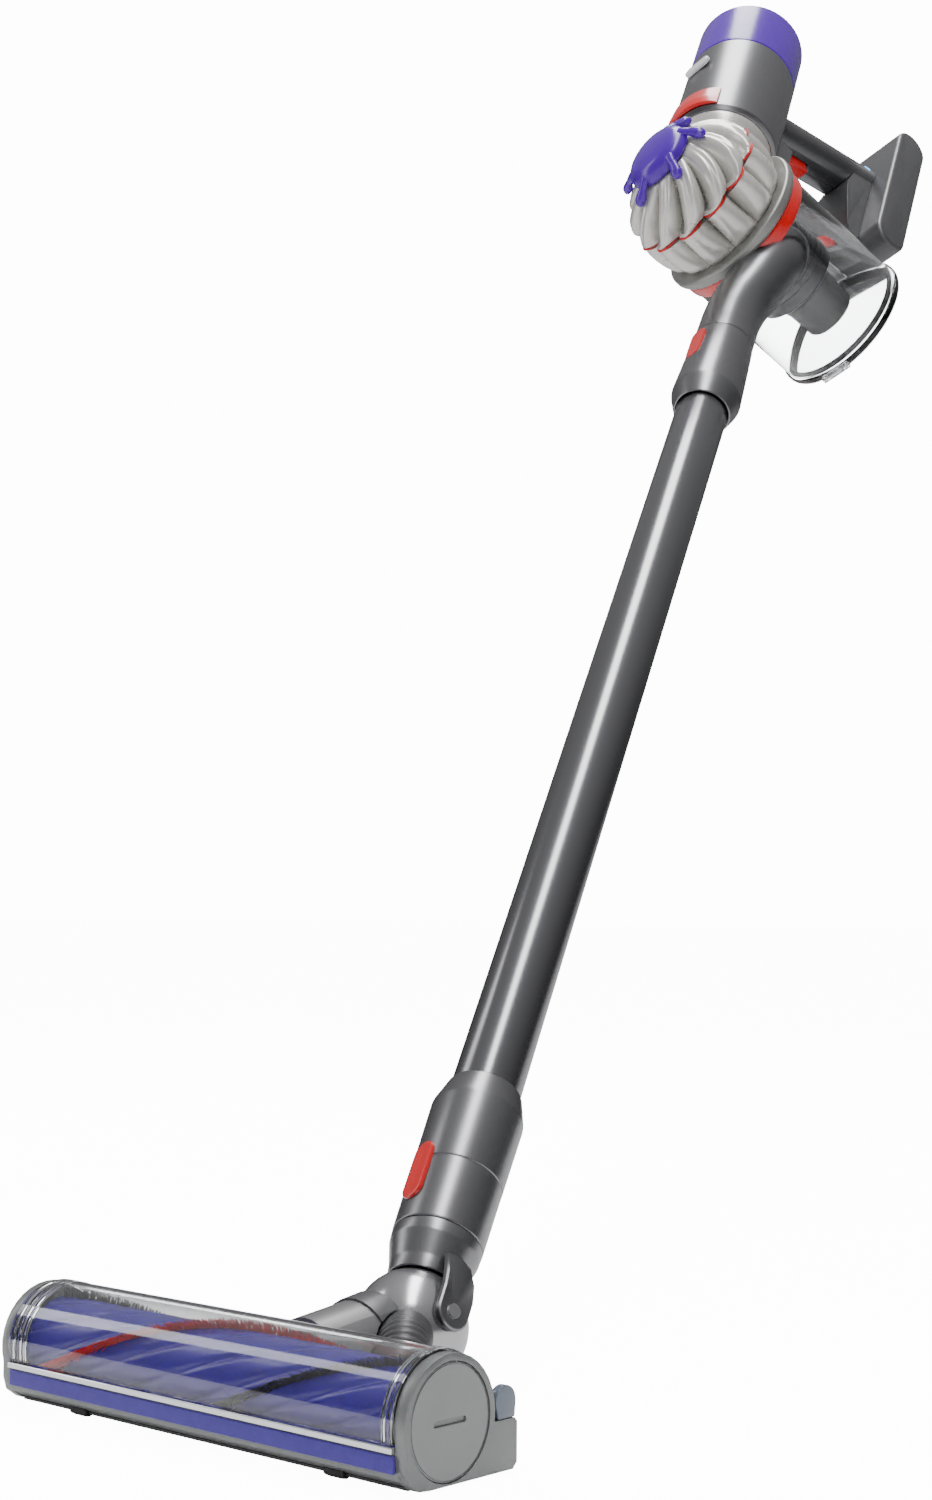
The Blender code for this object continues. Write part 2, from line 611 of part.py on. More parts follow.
# ---- neck: cone over the ball, with two ears on the pitch axis -----------------------------------
cup_r = BALL_R + RUN
cup_rim = 0.0152
cone_profile = [(CONE_FOOT_R, CONE_FOOT), (CONE_TOP_R - 0.0004, CONE_TOP - 0.0060), (CONE_TOP_R, CONE_TOP),
                (SPIGOT_R, CONE_TOP), (SPIGOT_R, SPIGOT_TOP), (SPIGOT_R - SPIGOT_WALL, SPIGOT_TOP),
                (SPIGOT_R - SPIGOT_WALL, sqrt(cup_r ** 2 - cup_rim ** 2) + 0.0006),
                (cup_rim + 0.0006, sqrt(cup_r ** 2 - (cup_rim + 0.0006) ** 2))]
cone = piece("neck_cone", turned(cone_profile, 32), wand, "gunmetal")
ear_in = BALL_R + RUN
ear_out = ear_in + EAR_THICK
for sign, label in ((1, "near"), (-1, "far")):
    tab = arc((0, 0), EAR_R, pi, 2 * pi, 12) + [(EAR_R, CONE_FOOT + 0.0100), (-EAR_R, CONE_FOOT + 0.0100)]
    low, high = sorted((sign * ear_in, sign * ear_out))
    add(cone, piece(f"{label}_ear", prism(tab, low, high, "X"), wand))
    arm_low, arm_high = sorted((sign * (CONE_FOOT_R - 0.0020), sign * (ear_out - 0.0002)))
    arm = block((arm_low, -EAR_R + 0.0004, CONE_FOOT + 0.0045), (arm_high, EAR_R - 0.0004, CONE_FOOT + 0.0098))
    add(cone, piece(f"{label}_arm", arm, wand))
    pin_line = empty(f"{label}_pin_line", wand, (0, 0, 0), TO_X if sign > 0 else TO_X_OUT)
    cut(cone, piece(f"{label}_pin_hole", turned(disc_profile(PIN_R + GAP, ear_in - 0.003, ear_out + 0.003), 20), pin_line))
    cut(ball, piece(f"{label}_ball_hole", turned(disc_profile(PIN_R + 0.0002, ball_in - 0.006, ear_out), 20), pin_line))
    piece(f"pitch_pin_{label}", turned(disc_profile(PIN_R, ball_in - 0.0030, ear_out + 0.0003), 20), pin_line, "steel")

# ---- wand ----------------------------------------------------------------------------------------
collar_bore = TUBE_R + GAP
tube_bore = TUBE_R - TUBE_WALL
sleeve_top = TUBE_FOOT + SLEEVE_LEN
foot_profile = [(CONE_TOP_R + 0.0001, CONE_TOP + GAP), (FOOT_COLLAR_R, FOOT_COLLAR_SHOULDER),
                (TUBE_R + 0.0012, FOOT_COLLAR_TOP), (collar_bore, FOOT_COLLAR_TOP), (collar_bore, sleeve_top),
                (tube_bore, sleeve_top), (tube_bore, TUBE_FOOT), (collar_bore, TUBE_FOOT), (collar_bore, CONE_TOP + GAP)]
foot_collar = piece("wand_foot_collar", turned(foot_profile, 32), wand, "gunmetal")
plug_foot = TUBE_TOP - PLUG_LEN
piece("wand_tube", turned(ring_profile(tube_bore, TUBE_R, sleeve_top + GAP, plug_foot - GAP), 28), wand, "gunmetal")
piece("wand_top_plug", turned(ring_profile(tube_bore, TUBE_R, plug_foot, TUBE_TOP), 28), wand, "dark_grey")

# ---- hand-held unit: socket and duct -------------------------------------------------------------
socket_profile = [(TUBE_R + 0.0014, SOCKET_FOOT), (SOCKET_R, SOCKET_SHOULDER), (SOCKET_TOP_R + 0.0008, SOCKET_TOP - 0.020),
                  (SOCKET_TOP_R, SOCKET_TOP), (collar_bore + 0.0002, SOCKET_TOP), (collar_bore + 0.0002, SOCKET_FOOT)]
socket = piece("inlet_socket", turned(socket_profile, 32), wand, "gunmetal")


def release_button(name, place_z, radius_at, host, label):
    """An oblong red button set in the front of a collar, and the pocket that it travels in."""
    front = radius_at + BUTTON_PROUD
    face = empty(f"{name}_axis", wand, (0, -front, place_z), Matrix.Rotation(radians(90), 3, "X"))
    room = prism(stadium(BUTTON_LEN + 2 * RUN, BUTTON_WIDTH + 2 * RUN), -0.012, 0.004)
    cut(host, piece(f"{label}_pocket", room, face))
    body = prism(stadium(BUTTON_LEN, BUTTON_WIDTH), -BUTTON_DEPTH, -0.0008)
    made = piece(name, body, face, "red")
    crown = prism(stadium(BUTTON_LEN - 0.0016, BUTTON_WIDTH - 0.0016), -BUTTON_DEPTH + 0.001, 0)
    add(made, piece(f"{label}_crown", crown, face))
    return made


release_button("foot_release_button", FOOT_BUTTON_Z, 0.0230, foot_collar, "foot")
release_button("top_release_button", TOP_BUTTON_Z, 0.0224, socket, "top")

DUCT_SIDES = 20
duct_route = [(0, 0, SOCKET_TOP + GAP), (0, 0, 0.850), (0.001, 0.000, 0.868), (0.004, 0.001, 0.886),
              (0.010, 0.003, 0.904), (0.0165, 0.005, 0.922), (0.0215, 0.0075, 0.938), (0.0235, 0.0090, 0.950),
              (0.0240, 0.0095, 0.960), (0.0243, 0.0098, 0.967), (0.0245, 0.0100, 0.970)]
duct_radii = [SOCKET_TOP_R, DUCT_R, DUCT_R, DUCT_R + 0.0002, DUCT_R + 0.0006, DUCT_R + 0.0008, DUCT_R + 0.0006,
              DUCT_R - 0.0006, DUCT_R - 0.0050, DUCT_R - 0.0110, DUCT_R - 0.0170]
piece("inlet_duct", along(duct_route, duct_radii, DUCT_SIDES, DUCT_WALL, closed_top=True), wand, "gunmetal")

# ---- hand-held unit: bin -------------------------------------------------------------------------
BIN_FRONT = -BAND_LEN - RED_RING_LEN


def duct_room(label):
    """The duct's outside, grown by a clearance, for cutting what it passes through."""
    radii = [radius + 2 * GAP for radius in duct_radii]
    route = duct_route[:-1] + [(duct_route[-1][0], duct_route[-1][1], duct_route[-1][2] + 2 * GAP)]
    return piece(f"duct_room_{label}", along(route, radii, DUCT_SIDES), wand)


clear_bin = piece("clear_bin", turned(ring_profile(BIN_R - BIN_WALL, BIN_R, -BIN_LEN, BIN_FRONT - GAP), 32), cyclone, "clear")
cut(clear_bin, duct_room("bin"))
red_ring = piece("red_bin_ring", turned(ring_profile(BIN_R - 0.0040, BIN_R + 0.0022, BIN_FRONT, -BAND_LEN - GAP), 32),
                 cyclone, "red")
cut(red_ring, duct_room("ring"))
shroud_front = -BAND_LEN - 0.0030
shroud_step = shroud_front - SHROUD_LEN
shroud_profile = [(0, shroud_front), (SHROUD_R, shroud_front), (SHROUD_R, shroud_step + 0.006),
                  (SHROUD_R - 0.009, shroud_step), (STUB_END_R + 0.002, shroud_step), (STUB_END_R, shroud_step - STUB_END_LEN),
                  (0, shroud_step - STUB_END_LEN)]
shroud = piece("shroud", turned(shroud_profile, 32), cyclone, "dark_grey")
cut(shroud, duct_room("shroud"))
lid_seat = -BIN_LEN - GAP
lid = piece("bin_lid", turned([(0, lid_seat - LID_LEN), (LID_R - 0.003, lid_seat - LID_LEN), (LID_R, lid_seat - LID_LEN + 0.003),
                               (LID_R, lid_seat), (BIN_R - BIN_WALL - 0.0025, lid_seat),
                               (BIN_R - BIN_WALL - 0.0025, lid_seat - 0.0035), (0, lid_seat - 0.0035)], 32), cyclone, "clear")
seal_r = BIN_R - BIN_WALL - 0.0025
piece("lid_seal", turned(ring_profile(seal_r - 0.0030, seal_r - GAP, lid_seat - 0.0032, lid_seat + 0.0012), 32),
      cyclone, "black")
HINGE_Y = -(LID_R + 0.0035)
hinge_z = lid_seat - 0.0015
hinge = empty("lid_hinge", cyclone, (0, HINGE_Y, hinge_z), TO_X)
knuckles = piece("lid_knuckle", turned(ring_profile(0.0012 + GAP, 0.0030, -0.0070, 0.0070), 16), hinge)
add(lid, piece("lid_tab", block((-0.0070, HINGE_Y + 0.0024, hinge_z - 0.0022), (0.0070, -LID_R + 0.003, hinge_z + 0.0010)),
              cyclone))
add(lid, knuckles)
piece("lid_hinge_pin", turned(disc_profile(0.0012, -0.0125, 0.0125), 12), hinge, "steel")
for sign in (-1, 1):
    low, high = sorted((sign * 0.0078, sign * 0.0120))
    lug = block((low, HINGE_Y - 0.0030, hinge_z - 0.0028), (high, -BIN_R + 0.0008, hinge_z + 0.0120))
    add(clear_bin, piece(f"bin_lug_{'ab'[sign > 0]}", lug, cyclone))
    low, high = sorted((sign * 0.0072, sign * 0.0126))
    notch = block((low, HINGE_Y - 0.0040, hinge_z - 0.0080), (high, -BIN_R + 0.0014, hinge_z + 0.0060))
    cut(lid, piece(f"lid_notch_{'ab'[sign > 0]}", notch, cyclone))
rail = block((-0.0040, BIN_R - 0.0010, -BIN_LEN), (0.0040, BIN_R + 0.0035, BIN_FRONT - 0.0240))
add(clear_bin, piece("bin_rail", rail, cyclone))
cut(clear_bin, piece("lug_pin_hole", turned(disc_profile(0.0012 + GAP, -0.0140, 0.0140), 12), hinge))

# ---- hand-held unit: cyclones and pre-motor filter -----------------------------------------------
band_profile = [(RIM_R - 0.0018, -BAND_LEN), (RIM_R, -BAND_LEN + 0.003), (RIM_R, -0.0015), (RIM_R - 0.0015, 0),
                (PREFILTER_CORE_R + 0.004, 0), (PREFILTER_CORE_R + 0.004, -BAND_LEN)]
band = piece("cyclone_band", turned(band_profile, 28), cyclone, "light_grey")
cut(band, duct_room("band"))


def lobed(depth):
    """Radius with one lobe for each cyclone cone, deepest between the lobes."""
    def wave(radius, height, angle):
        if radius < PREFILTER_R + 0.001:
            return radius
        return radius - depth * (1 - abs(cos(LOBES * angle / 2)))
    return wave


tier_bore = PREFILTER_CORE_R + 0.0015
lower_tier = [(RIM_R - 0.0030, GAP), (RIM_R - 0.0020, 0.010), (RIM_R - 0.0024, 0.024), (RIM_R - 0.0036, LOWER_TIER_LEN),
              (tier_bore, LOWER_TIER_LEN), (tier_bore, GAP)]
piece("cyclone_lower_tier", turned(lower_tier, 48, lobed(LOBE_DEPTH)), cyclone, "light_grey")
gasket_low = LOWER_TIER_LEN + GAP
gasket_high = gasket_low + 0.0012
piece("cyclone_gasket", turned(ring_profile(tier_bore, RIM_R - 0.0028, gasket_low, gasket_high), 48, lobed(LOBE_DEPTH)),
      cyclone, "red")
upper_low = gasket_high + GAP
upper_rise = UPPER_TIER_LEN - upper_low
upper_tier = [(RIM_R - 0.0036, upper_low), (RIM_R - 0.0036, upper_low + 0.24 * upper_rise),
              (RIM_R - 0.0096, upper_low + 0.55 * upper_rise), (RIM_R - 0.0196, upper_low + 0.84 * upper_rise),
              (PREFILTER_R + 0.0015, UPPER_TIER_LEN), (tier_bore, UPPER_TIER_LEN), (tier_bore, upper_low)]
piece("cyclone_upper_tier", turned(upper_tier, 48, lobed(LOBE_DEPTH)), cyclone, "light_grey")
cap_low = UPPER_TIER_LEN + GAP
filter_cap = [(0, cap_low), (PREFILTER_R - 0.001, cap_low), (PREFILTER_R, cap_low + 0.002),
              (PREFILTER_R - 0.002, PREFILTER_TOP - 0.002), (PREFILTER_R - 0.008, PREFILTER_TOP), (0, PREFILTER_TOP + 0.0015)]
piece("prefilter_cap", turned(filter_cap, 32), cyclone, "purple")
piece("prefilter_core", turned(disc_profile(PREFILTER_CORE_R, -BAND_LEN + 0.001, cap_low - GAP), 28), cyclone, "filter")

# ---- hand-held unit: motor -----------------------------------------------------------------------
floor_low = -HOUSING_LEN
housing_profile = [(0.0100, floor_low), (HOUSING_R - 0.003, floor_low), (HOUSING_R, floor_low + 0.003), (HOUSING_R, 0),
                   (HOUSING_R - HOUSING_WALL, 0), (HOUSING_R - HOUSING_WALL, floor_low + 0.004), (0.0100, floor_low + 0.004)]
housing = piece("motor_housing", turned(housing_profile, 32), motor, "gunmetal")
can_low = floor_low + 0.024
can_high = can_low + MOTOR_CAN_LEN
piece("motor_can", turned(ring_profile(SHAFT_R + 0.0006, MOTOR_CAN_R, can_low, can_high), 32), motor, "copper")
fan_low = floor_low + 0.0080
fan = [(0, fan_low), (0.0080, fan_low), (0.0110, fan_low + 0.004), (IMPELLER_R, fan_low + 0.0100),
       (IMPELLER_R, fan_low + 0.0120), (SHAFT_R, fan_low + 0.0130), (SHAFT_R, can_high + 0.006), (0, can_high + 0.006)]
piece("impeller", turned(fan, 32), motor, "steel")
cap_wall = 0.0022
cap_profile = [(HOUSING_R, GAP), (HOUSING_R, CAP_LEN - 0.004), (HOUSING_R - 0.004, CAP_LEN), (0.0130, CAP_LEN),
               (0.0130, CAP_LEN - cap_wall), (HOUSING_R - 0.0045, CAP_LEN - cap_wall), (HOUSING_R - cap_wall, CAP_LEN - 0.0055),
               (HOUSING_R - cap_wall, GAP)]
piece("exhaust_cap", turned(cap_profile, 32), motor, "purple")
piece("exhaust_filter", turned(ring_profile(0.0240, HOUSING_R - cap_wall - GAP, 0.004, CAP_LEN - 0.0062), 32), motor, "filter")

slider_r = HOUSING_R + GAP
slider_low = floor_low + 0.0030
front = radians(-90)
slider_outline = arc((0, 0), slider_r + 0.0042, front - SLIDER_HALF, front + SLIDER_HALF, 14)
slider_outline += arc((0, 0), slider_r, front + SLIDER_HALF, front - SLIDER_HALF, 14)
piece("bin_release_slider", prism(slider_outline, slider_low, slider_low + SLIDER_LEN), motor, "red")
switch_face = empty("mode_switch_axis", motor, (0, -HOUSING_R - 0.0003, -0.0290), Matrix.Rotation(radians(90), 3, "X"))
switch_shape = [(y, x) for x, y in stadium(0.0240, 0.0088)]
piece("mode_switch", prism(switch_shape, GAP, 0.0024), switch_face, "light_grey")

# ---- hand-held unit: spine that ties the bin, the motor and the grip together --------------------
spine_half = 0.0150
spine_low = CYCLONE_Z + RIM_R * cos(CYCLONE_DIP) + 0.0012
spine_front = MOTOR_Y + HOUSING_R - 0.0040
spine = piece("body_spine", block((-spine_half, spine_front, spine_low), (spine_half, spine_front + 0.0180, 1.1000)), wand,
              "gunmetal")
cut(spine, piece("spine_housing_room", turned(disc_profile(HOUSING_R + 2 * GAP, -0.2, 0.1), 32), motor))
cut(spine, piece("spine_bin_room", turned(disc_profile(BIN_R + 2 * GAP, -BIN_LEN, 0), 32), cyclone))
rail_room = block((-0.0040 - GAP, BIN_R - 0.0010, -BIN_LEN - GAP), (0.0040 + GAP, BIN_R + 0.0035 + GAP, BIN_FRONT - 0.0240 + GAP))
cut(spine, piece("spine_rail_room", rail_room, cyclone))

# ---- hand-held unit: grip, trigger and battery ---------------------------------------------------
trigger_low = -GRIP_FRONT + 0.0080
trigger_high = trigger_low + TRIGGER_LEN
grip_levels = [-GRIP_FRONT - 0.0100, trigger_low - 0.0030, trigger_high + 0.0030, GRIP_BACK]
grip_ring = [(GRIP_R, level) for level in grip_levels]
grip_ring += [(GRIP_R - GRIP_WALL, level) for level in reversed(grip_levels)]
trigger_root = GRIP_R - 0.0050
slab_front = SLAB_Y - SLAB_THICK / 2
halves = {}
for sign, label in ((1, "near"), (-1, "far")):
    shell = piece(f"grip_shell_{label}", turned(grip_ring, 32), grip, "gunmetal")
    low, high = sorted((sign * GAP / 2, -sign * 0.030))
    cut(shell, piece(f"{label}_half", block((low, -0.030, -0.090), (high, 0.030, 0.090)), grip))
    room = block((-TRIGGER_HALF - RUN, trigger_root - TRIGGER_TRAVEL - RUN, trigger_low - RUN),
                 (TRIGGER_HALF + RUN, GRIP_R + 0.0100, trigger_high + RUN))
    cut(shell, piece(f"{label}_trigger_room", room, grip))
    room = block((-0.030, slab_front - GAP, SLAB_Z - 0.090), (0.030, slab_front + 0.060, SLAB_Z + 0.090))
    cut(shell, piece(f"{label}_slab_room", room, wand))
    cut(shell, piece(f"{label}_housing_room", turned(disc_profile(HOUSING_R + 2 * GAP, -0.2, 0.1), 32), motor))
    halves[label] = shell
trigger = piece("trigger", block((-TRIGGER_HALF, trigger_root, trigger_low), (TRIGGER_HALF, GRIP_R + 0.0075, trigger_high)),
                grip, "red")
foot_back = slab_front - GAP
foot_outline = [(foot_back, SLAB_Z + 0.010), (foot_back, FOOT_LOW), (foot_back - 0.0060, FOOT_LOW - 0.0040),
                (foot_back - 0.0145, FOOT_LOW + 0.0070), (foot_back - 0.0245, SLAB_Z - 0.0200),
                (foot_back - 0.0200, SLAB_Z + 0.0030)]
foot = piece("battery_foot", prism(foot_outline, -FOOT_HALF, FOOT_HALF, "X"), wand, "dark_grey")
cut(foot, piece("grip_room", turned(disc_profile(GRIP_R + GAP, -GRIP_FRONT, GRIP_BACK + 0.040), 32), grip))
latch_turn = Matrix.Rotation(radians(90) + atan2(0.0085, 0.0110), 3, "X")
latch_face = empty("battery_latch_axis", wand, (0, foot_back - 0.01025, FOOT_LOW + 0.0015), latch_turn)
piece("battery_latch", prism([(y, x) for x, y in stadium(0.0160, 0.0070)], -0.0040, 0.0012), latch_face, "red")
latch_room = prism([(y, x) for x, y in stadium(0.0160 + 2 * RUN, 0.0070 + 2 * RUN)], -0.0068, 0.0060)
cut(foot, piece("latch_room", latch_room, latch_face))
lens_line = empty("lens_line", grip, (0, 0, GRIP_BACK - 0.0150), TO_X @ Matrix.Rotation(radians(28), 3, "X"))
piece("status_lens", turned(disc_profile(0.0030, GRIP_R - GRIP_WALL + 0.0004, GRIP_R + 0.0002), 16), lens_line, "clear")
cut(halves["near"], piece("lens_room", turned(disc_profile(0.0030 + GAP, GRIP_R - 0.006, GRIP_R + 0.003), 16), lens_line))

slab_frame = empty("battery_frame", wand, (0, SLAB_Y, SLAB_Z), TO_X)
piece("battery_pack", prism([(z, y) for y, z in stadium(SLAB_LEN, SLAB_THICK, 10)], -SLAB_WIDTH / 2, SLAB_WIDTH / 2),
      slab_frame, "dark_grey")
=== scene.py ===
from math import atan2, cos, pi, radians, sin, sqrt

import bpy
import numpy as np
from mathutils import Matrix, Vector


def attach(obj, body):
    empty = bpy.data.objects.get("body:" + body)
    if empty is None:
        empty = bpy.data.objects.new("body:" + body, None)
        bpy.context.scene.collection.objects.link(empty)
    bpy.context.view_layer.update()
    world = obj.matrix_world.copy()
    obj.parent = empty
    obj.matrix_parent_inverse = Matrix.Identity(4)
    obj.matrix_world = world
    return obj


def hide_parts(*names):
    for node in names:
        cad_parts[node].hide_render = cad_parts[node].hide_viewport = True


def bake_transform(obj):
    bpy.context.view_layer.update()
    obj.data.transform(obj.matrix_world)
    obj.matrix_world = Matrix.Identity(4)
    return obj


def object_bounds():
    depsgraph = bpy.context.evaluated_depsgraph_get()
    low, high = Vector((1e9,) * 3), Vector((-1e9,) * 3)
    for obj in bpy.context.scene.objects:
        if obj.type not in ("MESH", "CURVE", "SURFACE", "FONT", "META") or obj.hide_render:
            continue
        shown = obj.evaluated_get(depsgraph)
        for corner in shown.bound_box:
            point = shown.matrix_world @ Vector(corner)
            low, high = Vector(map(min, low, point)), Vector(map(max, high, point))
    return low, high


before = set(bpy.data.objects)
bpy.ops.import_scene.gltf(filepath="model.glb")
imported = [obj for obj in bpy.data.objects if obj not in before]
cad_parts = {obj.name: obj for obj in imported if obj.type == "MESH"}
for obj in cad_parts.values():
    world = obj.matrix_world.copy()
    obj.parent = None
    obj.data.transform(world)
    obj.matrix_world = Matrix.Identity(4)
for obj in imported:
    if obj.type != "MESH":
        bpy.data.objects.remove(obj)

cad_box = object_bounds()

# ---- room ----
# A wide pale floor under the wheels, a soft box at the front, a strip at the left and a long box
# overhead, a white backdrop seen by the camera straight or through clear pieces, and the camera low
# at the head's near end.


def reckoned(tree, operation, *terms):
    """The result of a maths node in a shader tree. A term is a number or another node's output."""
    node = tree.nodes.new("ShaderNodeMath")
    node.operation = operation
    for socket, term in zip(node.inputs, terms):
        if isinstance(term, (int, float)):
            socket.default_value = term
        else:
            tree.links.new(term, socket)
    return node.outputs["Value"]


floor_mesh = bpy.data.meshes.new("studio_floor")
floor_level = cad_box[0][2] - 0.0002
floor_mesh.from_pydata([(-40, -40, floor_level), (40, -40, floor_level), (40, 40, floor_level),
    (-40, 40, floor_level)], [], [(0, 1, 2, 3)])
floor = bpy.data.objects.new("studio_floor", floor_mesh)
bpy.context.scene.collection.objects.link(floor)
floor_paint = bpy.data.materials.new("pale_floor")
floor_paint.use_nodes = True
floor_shader = floor_paint.node_tree.nodes["Principled BSDF"]
floor_shader.inputs["Base Color"].default_value = (0.93, 0.93, 0.93, 1)
floor_shader.inputs["Roughness"].default_value = 0.7
floor_shader.inputs["Specular IOR Level"].default_value = 0.1
floor_shader.inputs["Emission Color"].default_value = (1, 1, 1, 1)
floor_view = floor_paint.node_tree.nodes.new("ShaderNodeLightPath")
floor_glow = reckoned(floor_paint.node_tree, "MULTIPLY_ADD", floor_view.outputs["Is Camera Ray"], 13.0, 0.12)
floor_paint.node_tree.links.new(floor_glow, floor_shader.inputs["Emission Strength"])
floor_mesh.materials.append(floor_paint)

world = bpy.data.worlds.new("studio")
bpy.context.scene.world = world
world.use_nodes = True
sky_nodes, sky_links = world.node_tree.nodes, world.node_tree.links
paper = sky_nodes["Background"]
paper.inputs["Color"].default_value = (1.0, 1.0, 1.0, 1)
paper.inputs["Strength"].default_value = 14.0
room_light = sky_nodes.new("ShaderNodeBackground")
direction = sky_nodes.new("ShaderNodeTexCoord")
parts = sky_nodes.new("ShaderNodeSeparateXYZ")
climb = sky_nodes.new("ShaderNodeValToRGB")
climb.color_ramp.elements[0].position = 0.50
climb.color_ramp.elements[0].color = (0.07, 0.07, 0.075, 1)
climb.color_ramp.elements[1].position = 1.0
climb.color_ramp.elements[1].color = (0.85, 0.85, 0.86, 1)
sky_links.new(direction.outputs["Generated"], parts.inputs["Vector"])
sky_links.new(reckoned(world.node_tree, "MULTIPLY_ADD", parts.outputs["Z"], 0.5, 0.5), climb.inputs["Fac"])
sky_links.new(climb.outputs["Color"], room_light.inputs["Color"])
room_light.inputs["Strength"].default_value = 0.75
path_kind = sky_nodes.new("ShaderNodeLightPath")
bounces = reckoned(world.node_tree, "ADD", path_kind.outputs["Diffuse Depth"],
    path_kind.outputs["Glossy Depth"])
straight = reckoned(world.node_tree, "LESS_THAN", bounces, 0.5)
through = reckoned(world.node_tree, "MULTIPLY", path_kind.outputs["Is Transmission Ray"], straight)
seen = reckoned(world.node_tree, "MAXIMUM", path_kind.outputs["Is Camera Ray"], through)
either = sky_nodes.new("ShaderNodeMixShader")
sky_links.new(seen, either.inputs[0])
sky_links.new(room_light.outputs["Background"], either.inputs[1])
sky_links.new(paper.outputs["Background"], either.inputs[2])
sky_links.new(either.outputs["Shader"], sky_nodes["World Output"].inputs["Surface"])


def soft_box(name, place, target, width, height, power):
    """A rectangular area light aimed at a point."""
    lamp = bpy.data.lights.new(name, "AREA")
    lamp.shape = "RECTANGLE"
    lamp.size = width
    lamp.size_y = height
    lamp.energy = power
    made = bpy.data.objects.new(name, lamp)
    aim = (Vector(target) - Vector(place)).to_track_quat("-Z", "Y")
    made.matrix_world = Matrix.Translation(Vector(place)) @ aim.to_matrix().to_4x4()
    bpy.context.scene.collection.objects.link(made)


soft_box("key_box", (1.4, -2.4, 1.3), (-0.1, 0.3, 0.45), 0.8, 1.6, 20)
soft_box("left_strip", (-2.2, -0.9, 1.2), (-0.1, 0.3, 0.5), 0.5, 2.6, 18)


def overhead_box(name, place, ahead, width, length, power):
    """A rectangular area light that faces straight down, its length turned to a direction on the floor."""
    soft_box(name, place, (place[0], place[1], 0), width, length, power)
    turned_to = Vector((ahead[0], ahead[1], 0)).normalized()
    made = bpy.data.objects[name]
    across = turned_to.cross(Vector((0, 0, 1)))
    facing = Matrix((across, turned_to, Vector((0, 0, 1)))).transposed()
    made.matrix_world = Matrix.Translation(Vector(place)) @ facing.to_4x4()


overhead_box("overhead_box", (0.10, 0.28, 2.5), (-0.61, 0.79), 0.55, 3.6, 85)

CAMERA_PLACE = Vector((0.726, -0.7013, 0.2219))
CAMERA_AZIMUTH = radians(42.186)
CAMERA_RISE = radians(-3.623)
CAMERA_ROLL = radians(0.506)
back = Vector((sin(CAMERA_AZIMUTH) * cos(CAMERA_RISE), -cos(CAMERA_AZIMUTH) * cos(CAMERA_RISE),
    sin(CAMERA_RISE)))
right = Vector((0, 0, 1)).cross(back).normalized()
up = back.cross(right)
lens = bpy.data.cameras.new("camera")
lens.sensor_width = 36
lens.lens = 54.756
lens.shift_x = 0.0145733
lens.shift_y = 0.0118267
lens.clip_start = 0.01
camera = bpy.data.objects.new("camera", lens)
right, up = cos(CAMERA_ROLL) * right + sin(CAMERA_ROLL) * up, cos(CAMERA_ROLL) * up - sin(CAMERA_ROLL) * right
camera.matrix_world = Matrix.Translation(CAMERA_PLACE) @ Matrix((right, up, back)).transposed().to_4x4()
bpy.context.scene.collection.objects.link(camera)
bpy.context.scene.camera = camera

# ---- floor head: chassis ----
# The grey injection-moulded frame of the head: two end plates joined by the front bar and the rear
# deck. Its edges are rounded in the mould, and its satin surface has a very fine texture.


def frame_in(parent, place, turn=None):
    """A frame of axes inside another one, as a 4x4 matrix."""
    return parent @ Matrix.Translation(Vector(place)) @ (turn.to_4x4() if turn else Matrix())


def put(points, axes):
    """Points of an array, given in a frame, in the part's own frame."""
    turn = np.array(axes.to_3x3())
    return np.asarray(points, float) @ turn.T + np.array(axes.translation)


def surface_group():
    """Moulded surface: mottle in colour and gloss from slow noise, and a fine grain from quick noise."""
    group = bpy.data.node_groups.new("moulded surface", "ShaderNodeTree")
    face = group.interface
    for name, kind, value in (("Colour", "NodeSocketColor", (0.5, 0.5, 0.5, 1)),
            ("Second Colour", "NodeSocketColor", (0.4, 0.4, 0.4, 1)), ("Roughness", "NodeSocketFloat", 0.4),
            ("Mottle Scale", "NodeSocketFloat", 30.0), ("Grain Scale", "NodeSocketFloat", 2500.0),
            ("Unevenness", "NodeSocketFloat", 0.06)):
        face.new_socket(name, in_out="INPUT", socket_type=kind).default_value = value
    for name, kind in (("Colour", "NodeSocketColor"), ("Roughness", "NodeSocketFloat"),
            ("Height", "NodeSocketFloat")):
        face.new_socket(name, in_out="OUTPUT", socket_type=kind)
    nodes, links = group.nodes, group.links
    given, result = nodes.new("NodeGroupInput"), nodes.new("NodeGroupOutput")
    place = nodes.new("ShaderNodeTexCoord")
    mottle, grain = nodes.new("ShaderNodeTexNoise"), nodes.new("ShaderNodeTexNoise")
    links.new(place.outputs["Object"], mottle.inputs["Vector"])
    links.new(place.outputs["Object"], grain.inputs["Vector"])
    links.new(given.outputs["Mottle Scale"], mottle.inputs["Scale"])
    links.new(given.outputs["Grain Scale"], grain.inputs["Scale"])
    mottle.inputs["Detail"].default_value = 4
    grain.inputs["Detail"].default_value = 2
    mix = nodes.new("ShaderNodeMix")
    mix.data_type = "RGBA"
    links.new(mottle.outputs["Fac"], mix.inputs["Factor"])
    links.new(given.outputs["Colour"], mix.inputs["A"])
    links.new(given.outputs["Second Colour"], mix.inputs["B"])
    links.new(mix.outputs["Result"], result.inputs["Colour"])
    gloss = reckoned(group, "MULTIPLY_ADD", mottle.outputs["Fac"], given.outputs["Unevenness"],
        given.outputs["Roughness"])
    links.new(gloss, result.inputs["Roughness"])
    links.new(grain.outputs["Fac"], result.inputs["Height"])
    return group


moulded = surface_group()


